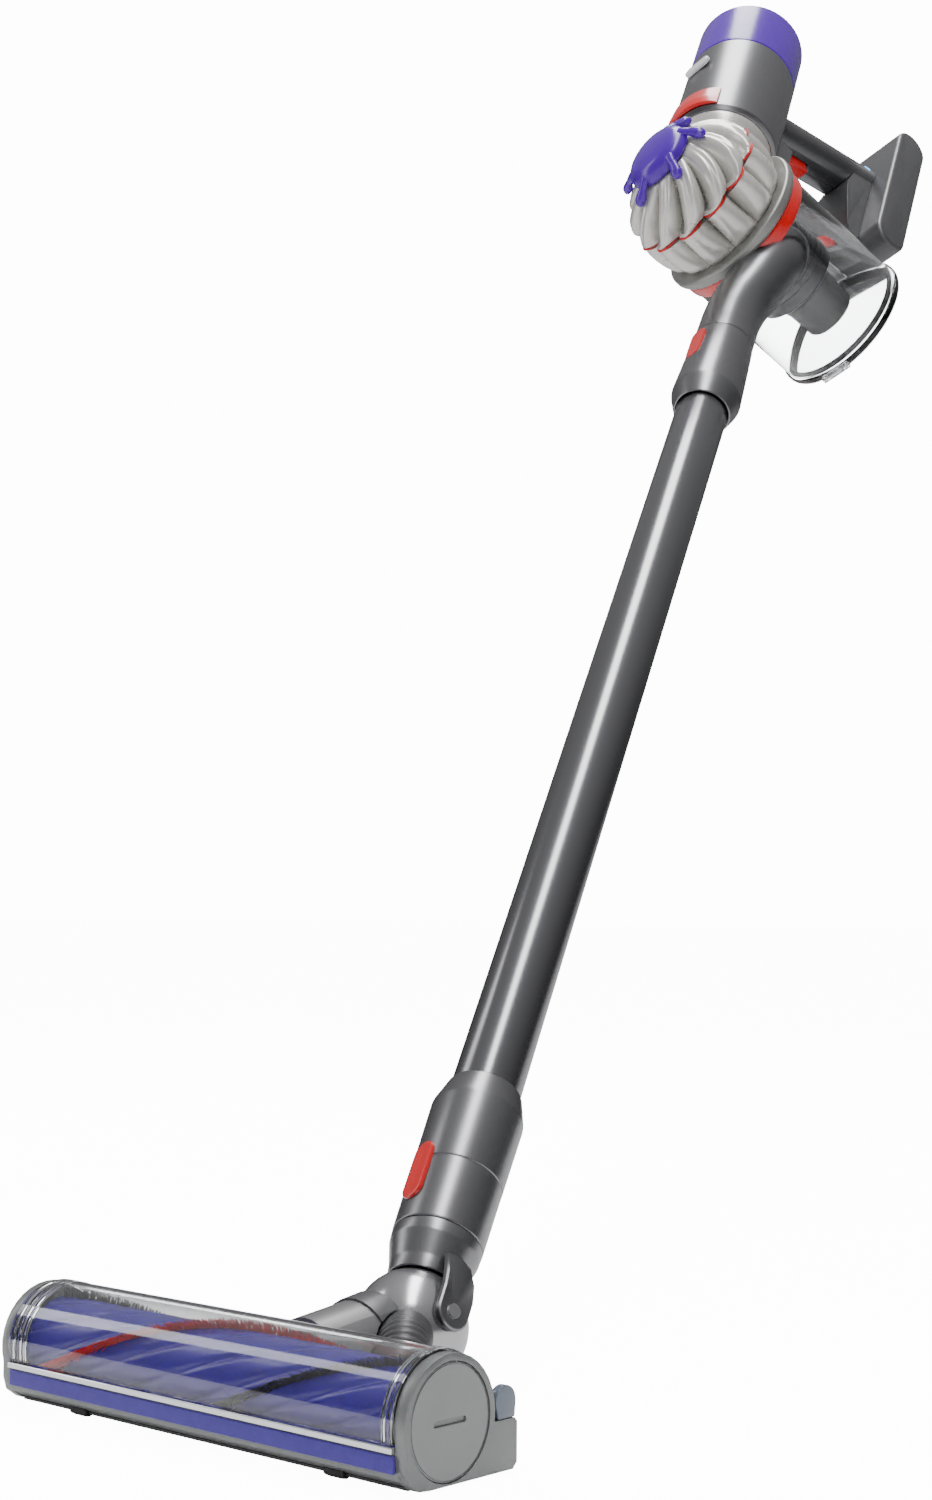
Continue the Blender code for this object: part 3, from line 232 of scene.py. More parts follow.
def finish(name, colour, second, roughness, metallic=0.0, grain=2500.0, depth=0.00002, mottle=30.0,
        uneven=0.06, coat=0.0, transmission=0.0, ior=1.5, sheen=0.0):
    """A material: the moulded surface's colour, gloss and grain on a Principled shader."""
    made = bpy.data.materials.new(name)
    made.use_nodes = True
    nodes, links = made.node_tree.nodes, made.node_tree.links
    shader = nodes["Principled BSDF"]
    skin = nodes.new("ShaderNodeGroup")
    skin.node_tree = moulded
    skin.inputs["Colour"].default_value = (*colour, 1)
    skin.inputs["Second Colour"].default_value = (*second, 1)
    skin.inputs["Roughness"].default_value = roughness
    skin.inputs["Mottle Scale"].default_value = mottle
    skin.inputs["Grain Scale"].default_value = grain
    skin.inputs["Unevenness"].default_value = uneven
    bump = nodes.new("ShaderNodeBump")
    bump.inputs["Distance"].default_value = depth
    bump.inputs["Strength"].default_value = 0.6
    links.new(skin.outputs["Colour"], shader.inputs["Base Color"])
    links.new(skin.outputs["Roughness"], shader.inputs["Roughness"])
    links.new(skin.outputs["Height"], bump.inputs["Height"])
    links.new(bump.outputs["Normal"], shader.inputs["Normal"])
    shader.inputs["Metallic"].default_value = metallic
    shader.inputs["Coat Weight"].default_value = coat
    shader.inputs["Coat Roughness"].default_value = 0.08
    shader.inputs["Transmission Weight"].default_value = transmission
    shader.inputs["IOR"].default_value = ior
    shader.inputs["Sheen Weight"].default_value = sheen
    return made


def settle(data, material, body, slot, *nodes):
    """A piece named as its mesh: its material, its smooth faces, the body it rides on, the nodes it
    stands for."""
    made = bpy.data.objects.new(data.name, data)
    bpy.context.scene.collection.objects.link(made)
    data.materials.clear()
    data.materials.append(material)
    data.shade_smooth()
    data.set_sharp_from_angle(angle=radians(38))
    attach(made, body)
    if nodes:
        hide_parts(*nodes)
    return made


def softened(node, material, body, slot, width, steps=2):
    """A copy of a CAD node with its doubled corners merged and its edges rounded over a width."""
    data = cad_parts[node].data.copy()
    import_mesh = bpy.data.objects.new("merge", data)
    bpy.context.scene.collection.objects.link(import_mesh)
    weld = import_mesh.modifiers.new("weld", "WELD")
    weld.merge_threshold = 0.00002
    flat = bpy.data.meshes.new_from_object(import_mesh.evaluated_get(bpy.context.evaluated_depsgraph_get()))
    bpy.data.objects.remove(import_mesh)
    flat.name = f"{node}_finished"
    made = settle(flat, material, body, slot, node)
    edge = made.modifiers.new("rounded edges", "BEVEL")
    edge.width = width
    edge.segments = steps
    edge.limit_method = "ANGLE"
    edge.angle_limit = radians(38)
    edge.use_clamp_overlap = True
    return made


chassis_grey = finish("chassis grey", (0.20, 0.21, 0.21), (0.17, 0.18, 0.18), 0.32, 0.45, depth=0.00003)
softened("head_chassis", chassis_grey, "head", "mid_grey", 0.0005)
sole_grey = finish("sole plate", (0.05, 0.05, 0.055), (0.04, 0.04, 0.045), 0.5)
softened("sole_plate", sole_grey, "head", "dark_grey", 0.0002)
smoke = finish("smoked window", (0.10, 0.13, 0.17), (0.08, 0.10, 0.14), 0.08, 0.0, coat=0.6)
softened("rear_window", smoke, "head", "smoke", 0.0006, 3)

# ---- floor head: locking end cap ----
# A flat disc that closes the brush's near end. A coin in its slot turns it by an eighth of a turn, and
# then it draws out with the pin that carries the brush.
BRUSH_Y = -0.031
BRUSH_Z = 0.0243
HEAD_HALF = 0.125
DISC_R = 0.0232
brush_axes = Matrix.Translation((0, BRUSH_Y, BRUSH_Z)) @ Matrix.Rotation(radians(90), 4, "Y")


def grid_mesh(name, points, close_u, close_v, ends=(False, False)):
    """A mesh from a grid of points (rows, columns, 3), joined round where asked. An end row may be
    closed to a point."""
    rows, columns = points.shape[:2]
    index = np.arange(rows * columns).reshape(rows, columns)
    low = index if close_u else index[:-1]
    high = np.roll(index, -1, 0) if close_u else index[1:]
    if close_v:
        quads = np.stack((low, np.roll(low, -1, 1), np.roll(high, -1, 1), high), -1)
    else:
        quads = np.stack((low[:, :-1], low[:, 1:], high[:, 1:], high[:, :-1]), -1)
    corners = quads.reshape(-1, 4)
    verts = points.reshape(-1, 3)
    loops = [corners.reshape(-1)]
    sizes = [np.full(len(corners), 4)]
    for row, flip, wanted in ((0, True, ends[0]), (rows - 1, False, ends[1])):
        if wanted:
            tip = len(verts)
            verts = np.vstack((verts, points[row].mean(0)))
            ring = index[row]
            after = np.roll(ring, -1)
            fan = np.stack((after, ring, np.full(columns,
                tip)) if flip else (ring, after, np.full(columns, tip)), -1)
            loops.append(fan.reshape(-1))
            sizes.append(np.full(columns, 3))
    loops, sizes = np.concatenate(loops), np.concatenate(sizes)
    data = bpy.data.meshes.new(name)
    data.vertices.add(len(verts))
    data.vertices.foreach_set("co", verts.astype(np.float32).reshape(-1))
    data.loops.add(len(loops))
    data.loops.foreach_set("vertex_index", loops.astype(np.int32))
    data.polygons.add(len(sizes))
    starts = np.concatenate(([0], np.cumsum(sizes)[:-1]))
    data.polygons.foreach_set("loop_start", starts.astype(np.int32))
    data.update(calc_edges=True)
    data.validate()
    return data


def outward(data):
    """Turns a closed mesh's faces so that its volume comes out positive."""
    count = len(data.vertices)
    co = np.empty(count * 3)
    data.vertices.foreach_get("co", co)
    co = co.reshape(-1, 3)
    data.calc_loop_triangles()
    tris = np.empty(len(data.loop_triangles) * 3, np.int32)
    data.loop_triangles.foreach_get("vertices", tris)
    a, b, c = co[tris.reshape(-1, 3)].transpose(1, 0, 2)
    if np.einsum("ij,ij->i", a, np.cross(b, c)).sum() < 0:
        data.flip_normals()
    return data


def solid_rows(name, points, axes):
    """A solid of rows of points in a frame: each row is joined round, and the end rows are closed."""
    return outward(grid_mesh(name, put(points, axes), False, True, (True, True)))


def rounded(profile, radius, steps=4, closed=False):
    """A profile with each corner cut back by a radius and bridged by a quadratic curve through it."""
    points = [np.array(point, float) for point in profile]
    count = len(points)
    out = []
    for k, corner in enumerate(points):
        if not closed and k in (0, count - 1):
            out.append(corner)
            continue
        before, after = points[k - 1], points[(k + 1) % count]
        one, two = before - corner, after - corner
        reach_one = min(radius, np.linalg.norm(one) * 0.45)
        reach_two = min(radius, np.linalg.norm(two) * 0.45)
        start = corner + one / np.linalg.norm(one) * reach_one
        stop = corner + two / np.linalg.norm(two) * reach_two
        t = np.linspace(0, 1, steps + 1)[:, None]
        out.extend((1 - t) ** 2 * start + 2 * t * (1 - t) * corner + t ** 2 * stop)
    return np.array(out)


def turned(name, profile, axes, sides=96, wave=None):
    """A surface of revolution: (radius, height) points swept round the frame's Z. A profile that begins
    and ends on the axis is a solid, any other is closed into a ring. wave(radius, height, angle) may
    change the radius."""
    profile = np.asarray(profile, float)
    solid = profile[0, 0] < 1e-9 and profile[-1, 0] < 1e-9
    rim = profile[1:-1] if solid else profile
    angle = 2 * pi * np.arange(sides) / sides
    reach = np.repeat(rim[:, :1], sides, 1)
    height = np.repeat(rim[:, 1:], sides, 1)
    if wave:
        reach, height = wave(reach, height, angle[None, :])
    points = np.stack((reach * np.cos(angle), reach * np.sin(angle), height), -1)
    data = grid_mesh(name, put(points, axes), not solid, True, (solid, solid))
    if solid:
        tips = np.array([[0, 0, profile[0, 1]], [0, 0, profile[-1, 1]]])
        spots = put(tips, axes)
        data.vertices[len(data.vertices) - 2].co = spots[0]
        data.vertices[len(data.vertices) - 1].co = spots[1]
    return outward(data)


def oblong(length, width, count):
    """Points round an oblong with round ends, length along the second axis, evenly by angle round its
    outline."""
    radius, reach = width / 2, length / 2 - width / 2
    turn = 2 * pi * (np.arange(count) + 0.5) / count
    return np.stack((radius * np.cos(turn), radius * np.sin(turn) + reach * np.sign(np.sin(turn))), -1)


def slotted_disc():
    """A disc whose face runs from a slot's floor, up its walls and out to a rounded rim, then down its
    side."""
    count = 160
    angle = 2 * pi * (np.arange(count) + 0.5) / count
    slot = oblong(0.0190, 0.0022, count)
    circle = np.stack((np.cos(angle), np.sin(angle)), -1)
    top = HEAD_HALF - 0.0002
    rows = [np.column_stack((slot * 0.98, np.full(count, top - 0.0013))),
        np.column_stack((slot, np.full(count, top - 0.0012))),
        np.column_stack((slot, np.full(count, top - 0.0002))),
        np.column_stack((slot + 0.0002 * circle, np.full(count, top)))]
    for share in (0.35, 0.7):
        rows.append(np.column_stack((slot * (1 - share) + circle * DISC_R * 0.955 * share,
            np.full(count, top))))
    for radius, drop in ((DISC_R - 0.0011, 0.0), (DISC_R - 0.0010, 0.00035), (DISC_R - 0.0007, 0.00035),
            (DISC_R - 0.0006, 0.00005), (DISC_R - 0.0002, 0.0002), (DISC_R, 0.0007), (DISC_R, 0.0048),
            (0.0038, 0.0050), (0.0038, 0.0220), (0.0030, 0.0228)):
        rows.append(np.column_stack((circle * radius, np.full(count, top - drop))))
    points = np.array(rows)
    return solid_rows("end_cap_disc", points, brush_axes)


cap_grey = finish("end cap grey", (0.23, 0.24, 0.24), (0.20, 0.21, 0.21), 0.30, 0.45, depth=0.00002)
settle(slotted_disc(), cap_grey, "end_cap", "mid_grey", "end_cap")

# ---- floor head: clear cover and its rail ----
# A half-tube of clear polycarbonate over the brush, stiffened by ribs round both ends. Its front edge
# sits in a polished rail above the felt.
clear_plastic = finish("clear polycarbonate", (0.97, 0.98, 0.985), (0.96, 0.97, 0.98), 0.02, depth=0.0,
    uneven=0.02, transmission=1.0, ior=1.45)
COVER_R = 0.0272
COVER_WALL = 0.0016
bay_half = HEAD_HALF - 0.0055 - 0.0003


def arc_strip(name, inner, outer, start, stop, low, high, steps=72):
    """A bent strip of wall: a rectangle of radii and lengths carried round the brush axis from one
    angle to another."""
    angle = np.linspace(start, stop, steps)
    radius = np.array([inner, outer - 0.0003, outer, outer, outer - 0.0003, inner])
    place = np.array([low, low, low + 0.0003, high - 0.0003, high, high])
    y = BRUSH_Y + np.cos(angle)[:, None] * radius
    z = BRUSH_Z + np.sin(angle)[:, None] * radius
    points = np.stack((np.broadcast_to(place, y.shape), y, z), -1)
    return outward(grid_mesh(name, points, False, True, (True, True)))


cover_stop = pi + 0.215
settle(arc_strip("cover_shell", COVER_R - COVER_WALL, COVER_R, radians(20), cover_stop, -bay_half, bay_half),
    clear_plastic, "head", "clear", "clear_cover")
for place, width, tag in ((-bay_half + 0.0022, 0.0024, "a"), (-bay_half + 0.0072, 0.0016, "b"),
        (-bay_half + 0.0108, 0.0010, "c"), (bay_half - 0.0016, 0.0022, "d"),
        (bay_half - 0.0056, 0.0012, "e")):
    settle(arc_strip(f"cover_rib_{tag}", COVER_R - COVER_WALL - 0.0004, COVER_R + 0.0003, radians(22),
        cover_stop - 0.02, place - width / 2, place + width / 2), clear_plastic, "head", "clear")
bright = finish("polished rail", (0.72, 0.73, 0.75), (0.68, 0.69, 0.72), 0.12, 0.9, depth=0.0)
softened("cover_rail", bright, "head", "polished", 0.0004, 3)
felt_look = finish("purple felt", (0.032, 0.010, 0.30), (0.024, 0.007, 0.22), 0.72, grain=1800, depth=0.00025,
    mottle=160, sheen=0.4)
softened("front_felt", felt_look, "head", "felt", 0.0005, 3)

# ---- floor head: brush ----
# An indigo tube with fine helical grooves turns inside the cover. One strip of red nylon and two of dark
# carbon-fibre filaments wind along it, and a plug closes its free end.
BRUSH_R = 0.0200
BRISTLE_R = 0.0245
brush_half = 0.1150
STRIP_TURNS = 0.66
helix_rate = -2 * pi * STRIP_TURNS / (2 * (brush_half - 0.0015))


def grooved_tube():
    """A tube whose outer radius dips by a fraction of a millimetre along helical grooves of the strips'
    pitch."""
    place = np.linspace(-brush_half, brush_half, 150)
    angle = 2 * pi * np.arange(216) / 216
    phase = angle[None, :] - helix_rate * place[:, None]
    outer = BRUSH_R - 0.0008 * (0.5 + 0.5 * np.cos(phase * 9)) ** 10
    outer[0] -= 0.0006
    outer[-1] -= 0.0006
    rows = np.stack((-outer * np.sin(angle), outer * np.cos(angle),
        np.broadcast_to(place[:, None], outer.shape)), -1)
    inner = np.stack((-0.0175 * np.sin(angle), 0.0175 * np.cos(angle), np.zeros(216)), -1)
    first, last = inner + (0, 0, -brush_half), inner + (0, 0, brush_half)
    points = np.concatenate((first[None], rows, last[None]))
    return outward(grid_mesh("brush_tube_grooved", put(points, brush_axes), True, True))


indigo = finish("indigo brush tube", (0.036, 0.010, 0.36), (0.026, 0.008, 0.27), 0.30, depth=0.00002,
    coat=0.35)
settle(grooved_tube(), indigo, "brush", "indigo", "brush_tube")


def filament_strip(name, start, lean, tufts, thick):
    """Rows of thin four-sided filaments standing on the tube along a helix, each a grid of two rings
    and a tip."""
    rng = np.random.default_rng(7)
    count = tufts * 3
    place = np.linspace(-brush_half + 0.003, brush_half - 0.003, count) + rng.normal(0, 0.0002, count)
    row = np.tile([-1, 0, 1], tufts)
    middle = radians(start) + helix_rate * (place + brush_half - 0.0015) + row * 0.0011 / BRUSH_R
    tip_turn = rng.normal(lean, 0.03, count)
    tip_reach = BRISTLE_R - rng.uniform(0, 0.0005, count)
    ring = np.array([[-1, -1], [1, -1], [1, 1], [-1, 1]]) * thick / 2
    layers = []
    for share, size in ((0.0, 1.0), (0.5, 0.9), (1.0, 0.45)):
        radius = BRUSH_R - 0.0002 + (tip_reach - BRUSH_R) * share
        angle = middle + tip_turn * share ** 2
        centre = np.stack((-radius * np.sin(angle), radius * np.cos(angle),
            place + rng.normal(0, 0.0003, count) * share), -1)
        across = np.stack((-np.cos(angle), -np.sin(angle), np.zeros(count)), -1)
        along = np.array([0, 0, 1.0])
        section = across[:, None] * ring[None, :, :1] + along * ring[None, :, 1:]
        layers.append(centre[:, None] + size * section)
    points = np.stack(layers, 1).reshape(count * 12, 3)
    base = np.arange(count)[:, None] * 12
    quads = [[k, (k + 1) % 4, (k + 1) % 4 + 4,
        k + 4] for k in range(4)] + [[k + 4, (k + 1) % 4 + 4, (k + 1) % 4 + 8, k + 8] for k in range(4)]
    quads += [[3, 2, 1, 0], [8, 9, 10, 11]]
    faces = (base[:, :, None] + np.array(quads)[None]).reshape(-1, 4)
    data = bpy.data.meshes.new(name)
    data.from_pydata(put(points, brush_axes).tolist(), [], faces.tolist())
    return data


red_nylon = finish("red nylon", (0.68, 0.004, 0.004), (0.50, 0.002, 0.002), 0.38, depth=0.0)
carbon = finish("carbon filaments", (0.018, 0.018, 0.020), (0.030, 0.030, 0.032), 0.45, depth=0.0)
settle(filament_strip("red_filaments", 212, 0.10, 340, 0.00042), red_nylon, "brush", "red_fibre",
    "red_bristles")
settle(filament_strip("carbon_filaments_a", 332, 0.06, 340, 0.00034), carbon, "brush", "black_fibre",
    "black_bristles_a")
settle(filament_strip("carbon_filaments_b", 92, 0.06, 340, 0.00034), carbon, "brush", "black_fibre",
    "black_bristles_b")

# The plug is a plain ring of dark plastic, pressed into the tube's free end around the end cap's pin.
plug_grey = finish("plug grey", (0.05, 0.05, 0.055), (0.04, 0.04, 0.045), 0.45)
settle(turned("brush_plug_turned",
    rounded([(0.0041, 0.101), (0.0172, 0.101), (0.0172, 0.1145), (0.0041, 0.1145)], 0.0006, 3, True),
    brush_axes), plug_grey, "brush", "dark_grey", "brush_plug")

# ---- floor head: brush motor ----
# The motor stands still inside the tube on the head's far end plate, and a bearing ring runs on its nose.
motor_metal = finish("bare motor metal", (0.45, 0.36, 0.28), (0.40, 0.32, 0.25), 0.35, 0.9)
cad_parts["brush_motor"].data.materials[0] = motor_metal
turned_steel = finish("turned steel", (0.58, 0.58, 0.59), (0.52, 0.52, 0.53), 0.25, 1.0)
for node in ("brush_bearing", "lid_hinge_pin", "pitch_pin_near", "pitch_pin_far"):
    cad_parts[node].data.materials[0] = turned_steel

# ---- floor head: wheels ----
# Four small rubber wheels on pins in the sole, each with a rounded tread and a dished hub.
rubber = finish("wheel rubber", (0.015, 0.015, 0.016), (0.022, 0.022, 0.022), 0.62, depth=0.00004)
for node, x, y, radius, width in (("front_wheel_left", -0.079, BRUSH_Y - 0.0170, 0.0026, 0.011),
        ("front_wheel_right", 0.080, BRUSH_Y - 0.0170, 0.0026, 0.011), ("rear_wheel_left", -0.098,
        BRUSH_Y + 0.0318, 0.0060, 0.008), ("rear_wheel_right", 0.098, BRUSH_Y + 0.0318, 0.0060, 0.008)):
    axle = Matrix.Translation((x, y, radius - 0.0015)) @ Matrix.Rotation(radians(90), 4, "Y")
    half = width / 2
    hub = [(0, -half + 0.0006), (radius * 0.55, -half + 0.0006), (radius * 0.62, -half),
        (radius * 0.9, -half), (radius, -half * 0.6), (radius, half * 0.6), (radius * 0.9, half),
        (radius * 0.62, half), (radius * 0.55, half - 0.0006), (0, half - 0.0006)]
    settle(turned(f"{node}_turned", hub, axle, 40), rubber, node, "black_rubber", node)

# ---- neck: swivel, ball and hose ----
# The head turns on a hollow swivel: a stub fixed to the chassis, a darker collar that turns in it, and a
# polished ball that carries the pitch pins.
NECK = (0.0018, 0.0781, 0.0310)
BALL_R = 0.0270
BALL_FLAT = 0.0222
SWIVEL_RISE = radians(7.166)
HEAD_TURN = radians(-21.766)
WAND_LEAN = radians(-40.227)
swivel_line = Vector((0, cos(SWIVEL_RISE), sin(SWIVEL_RISE)))
along_swivel = Matrix.Rotation(SWIVEL_RISE - radians(90), 3, "X")
knuckle_axes = Matrix.Translation(NECK) @ Matrix.Rotation(HEAD_TURN, 4, swivel_line)
swivel_moving = knuckle_axes @ along_swivel.to_4x4()
wand_axes = knuckle_axes @ Matrix.Rotation(WAND_LEAN, 4, "X")
stub_grey = finish("stub grey", (0.25, 0.25, 0.255), (0.21, 0.21, 0.215), 0.30, 0.55)
collar_grey = finish("collar grey", (0.10, 0.10, 0.105), (0.085, 0.085, 0.09), 0.36, 0.4)
softened("swivel_stub", stub_grey, "head", "mid_grey", 0.0007, 3)
softened("knuckle_collar", collar_grey, "knuckle", "dark_grey", 0.0006, 3)
softened("hose_port", collar_grey, "head", "dark_grey", 0.0006, 3)
ball_silver = finish("ball silver", (0.42, 0.42, 0.43), (0.38, 0.38, 0.39), 0.17, 0.9, depth=0.0)
front_angle = atan2(sqrt(BALL_R ** 2 - BALL_FLAT ** 2), BALL_FLAT)
ball_back = np.linspace(front_angle, pi, 48)
ball_line = np.stack((BALL_R * np.sin(ball_back), -BALL_R * np.cos(ball_back)), -1)
ball_line[-1, 0] = 0
settle(turned("ball_polished", np.vstack(([(0, -BALL_FLAT)], ball_line)), swivel_moving, 128), ball_silver,
    "knuckle", "polished", "knuckle_ball")


def path_frames(path):
    """At each point of a path, two directions across it that turn as little as they can along the path."""
    path = np.asarray(path, float)
    ahead = np.gradient(path, axis=0)
    ahead /= np.linalg.norm(ahead, axis=1)[:, None]
    across = []
    side = np.array((1.0, 0, 0)) if abs(ahead[0, 0]) < 0.9 else np.array((0, 1.0, 0))
    for step in ahead:
        side = side - step * side.dot(step)
        side = side / np.linalg.norm(side)
        across.append(side)
    across = np.array(across)
    return path, across, np.cross(ahead, across)


def smooth_path(points, count):
    """A curve through points: a natural run of cubic pieces, read at even steps of the points' spacing."""
    points = np.asarray(points, float)
    knots = np.concatenate(([0], np.cumsum(np.linalg.norm(np.diff(points, axis=0), axis=1))))
    at = np.linspace(0, knots[-1], count)
    slope = np.gradient(points, knots, axis=0)
    k = np.clip(np.searchsorted(knots, at) - 1, 0, len(knots) - 2)
    step = (knots[k + 1] - knots[k])[:, None]
    t = ((at - knots[k]) / step[:, 0])[:, None]
    return ((2 * t ** 3 - 3 * t ** 2 + 1) * points[k] + (t ** 3 - 2 * t ** 2 + t) * step * slope[k]
        + (3 * t ** 2 - 2 * t ** 3) * points[k + 1] + (t ** 3 - t ** 2) * step * slope[k + 1])


def tube_along(name, path, radius, sides=64, flat=1.0, axes=None, ends=(True, True)):
    """A round tube along a path: at each point a ring of the given radius, its second direction scaled
    by flat."""
    path, one, two = path_frames(path)
    radius = np.broadcast_to(np.asarray(radius, float), len(path))[:, None, None]
    angle = 2 * pi * np.arange(sides) / sides
    ring = np.cos(angle)[None, :, None] * one[:, None] + flat * np.sin(angle)[None, :, None] * two[:, None]
    points = path[:, None] + radius * ring
    if axes is not None:
        points = put(points, axes)
    return outward(grid_mesh(name, points, False, True, ends))


# The hose is dark ribbed plastic: a corrugated tube from the port beside the swivel to the ball's cheek.
HOSE_R = 0.0125
port = np.array((0.034, 0.0090, 0.0160))
cheek = Vector((0.62, -0.78, 0.03)).normalized() * (BALL_R + 0.0008)
hose_stop = Vector(NECK) + cheek
hose_route = [port + (0, 0.0094, 0), port + (0, 0.0130, 0), port + (0.0004, 0.0200, 0.0020),
    port + (0, 0.0285, 0.0090), np.array(hose_stop + cheek.normalized() * 0.0105
    + Vector((0.0012, -0.0010, -0.0012))), np.array(hose_stop)]
hose_path = smooth_path(hose_route, 220)
hose_run = np.linspace(0, 1, 220)
hose_ribs = HOSE_R - 0.0009 * (0.5 - 0.5 * np.cos(hose_run * 2 * pi * 15)) ** 1.5
hose_ribs[:6] = HOSE_R - 0.0003
hose_dark = finish("hose plastic", (0.075, 0.075, 0.08), (0.055, 0.055, 0.06), 0.36, 0.25)
hose_skin = tube_along("suction_hose_ribbed", hose_path, hose_ribs, 72)
hose_skin.materials.append(hose_dark)
hose_skin.shade_smooth()
hose = bpy.data.objects.new("suction_hose_ribbed", hose_skin)
bpy.context.scene.collection.objects.link(hose)
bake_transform(hose)
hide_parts("suction_hose")

# ---- neck: cone and ears ----
# The cone stands over the ball on two ears, one on each pitch pin, and plugs into the wand. It is satin
# metallic plastic like the rest of the wand.
metallic = finish("satin gunmetal", (0.21, 0.21, 0.22), (0.18, 0.18, 0.19), 0.26, 0.95, depth=0.00001,
    mottle=18)
cup_r = BALL_R + 0.0006
cone_outside = rounded([(0.0180, 0.0222), (0.0188, 0.0290), (0.0220, 0.0410), (0.0224, 0.0470),
    (0.0172, 0.0470), (0.0172, 0.0950), (0.0152, 0.0950), (0.0152, 0.0240),
    (0.0158, sqrt(cup_r ** 2 - 0.0158 ** 2))], 0.0007, 4, True)
settle(turned("neck_cone_turned", cone_outside, wand_axes, 112), metallic, "neck", "gunmetal", "neck_cone")


def ear(name, sign):
    """An ear: an arch-shaped plate across the pitch pin, swept outwards to blend into the cone's foot."""
    turn = np.linspace(pi, 2 * pi, 24)
    low = np.stack((0.0090 * np.cos(turn), 0.0090 * np.sin(turn)), -1)
    up_side = np.array([(0.0090, 0.0100), (0.0088, 0.0200), (0.0076, 0.0300), (0, 0.0335), (-0.0076, 0.0300),
        (-0.0088, 0.0200), (-0.0090, 0.0100)])
    outline = np.vstack((low, up_side))
    mids = outline.mean(0)
    rows = []
    for x, inset in ((0.0276, 0.0006), (0.0278, 0.0), (0.0300, 0.0), (0.0306, 0.0008)):
        ring = mids + (outline - mids) * (1 - inset / 0.009)
        lean = np.clip((ring[:, 1] - 0.012) / 0.020, 0, 1) ** 1.3
        rows.append(np.column_stack((sign * (x - 0.0085 * lean), ring)))
    points = np.array(rows)
    return solid_rows(name, points, wand_axes)


for sign, label in ((1, "near"), (-1, "far")):
    settle(ear(f"ear_{label}", sign), metallic, "neck", "gunmetal")

# ---- wand: tube and foot collar ----
# A drawn aluminium tube with a satin metallic coat, glued into a plastic collar that takes the neck's plug.
tube_metal = finish("tube metal", (0.20, 0.20, 0.21), (0.18, 0.18, 0.19), 0.20, 1.0, grain=1200,
    depth=0.000005, mottle=10, uneven=0.03)
tube_profile = rounded([(0.0180, 0.1303), (0.0180, 0.7497), (0.0166, 0.7497), (0.0166, 0.1303)], 0.0003, 2,
    True)
settle(turned("wand_tube_drawn", tube_profile, wand_axes, 144), tube_metal, "wand", "tube_metal", "wand_tube")
plug_profile = rounded([(0.0180, 0.7500), (0.0180, 0.7985), (0.0176, 0.8000), (0.0166, 0.8000),
    (0.0166, 0.7500)], 0.0004, 3, True)
settle(turned("wand_plug_turned", plug_profile, wand_axes, 112), collar_grey, "wand", "dark_grey",
    "wand_top_plug")
collar_profile = [(0.0183, 0.0473), (0.0222, 0.0473), (0.0225, 0.0480), (0.0230, 0.0827), (0.0226, 0.0830),
    (0.0226, 0.0833), (0.0231, 0.0836), (0.0238, 0.1230), (0.0236, 0.1245), (0.0196, 0.1380),
    (0.0190, 0.1390), (0.0183, 0.1390), (0.0183, 0.1300), (0.0166, 0.1300), (0.0166, 0.1000),
    (0.0183, 0.1000)]
settle(turned("foot_collar_turned", rounded(collar_profile, 0.0005, 3, True), wand_axes, 144), metallic,
    "wand", "gunmetal", "wand_foot_collar")

# ---- release buttons ----
# Two oblong red buttons, crowned and dished for a thumb, each in a dark pocket in the front of its collar.
button_red = finish("button red", (0.62, 0.002, 0.002), (0.52, 0.001, 0.001), 0.26, coat=0.4)
pocket_dark = finish("pocket dark", (0.02, 0.02, 0.02), (0.03, 0.03, 0.03), 0.6)


def crowned_oblong(name, axes, length, width, deep, crown, dish=0.0, count=96, bend=0.0):
    """An oblong block: outline rows from its foot up its side and over a rounded edge to a crowned top.
    dish sinks the middle of the top, and bend drops its sides as on a cylinder of that radius."""
    rows = []
    for share, height in ((1.0, -deep), (1.0, -crown), (0.985, -crown * 0.45), (0.94, -crown * 0.14),
            (0.86, 0.0), (0.6, 0.0), (0.3, 0.0), (0.02, 0.0)):
        inset = (1 - share) * width / 2
        ring = oblong(length - 2 * inset, max(width - 2 * inset, 0.00001),
            count) if share > 0.05 else oblong(length * 0.55, 0.00002, count)
        z = np.full(count, height) - (dish * (1 - share) ** 0.7 if share < 0.9 else 0)
        if bend:
            z = z - np.where(z > -deep + 1e-6, bend - np.sqrt(bend ** 2 - ring[:, 0] ** 2), 0)
        rows.append(np.column_stack((ring, z)))
    points = np.array(rows)
    return solid_rows(name, points, axes)


for node, body, host, place, radius in (("foot_release_button", "foot_button", "wand", 0.0752, 0.0230),
        ("top_release_button", "top_button", "handset", 0.8080, 0.0224)):
    face = frame_in(wand_axes, (0, -radius - 0.0012, place), Matrix.Rotation(radians(90), 3, "X"))
    settle(crowned_oblong(f"{node}_crowned", face, 0.0340, 0.0130, 0.0024, 0.0020, 0.0004), button_red, body,
        "red", node)
    rim = frame_in(wand_axes, (0, -radius + 0.0001, place), Matrix.Rotation(radians(90), 3, "X"))
    settle(crowned_oblong(f"{node}_pocket", rim, 0.0354, 0.0144, 0.0032, 0.0004, bend=0.0235), pocket_dark,
        host, "dark_grey")

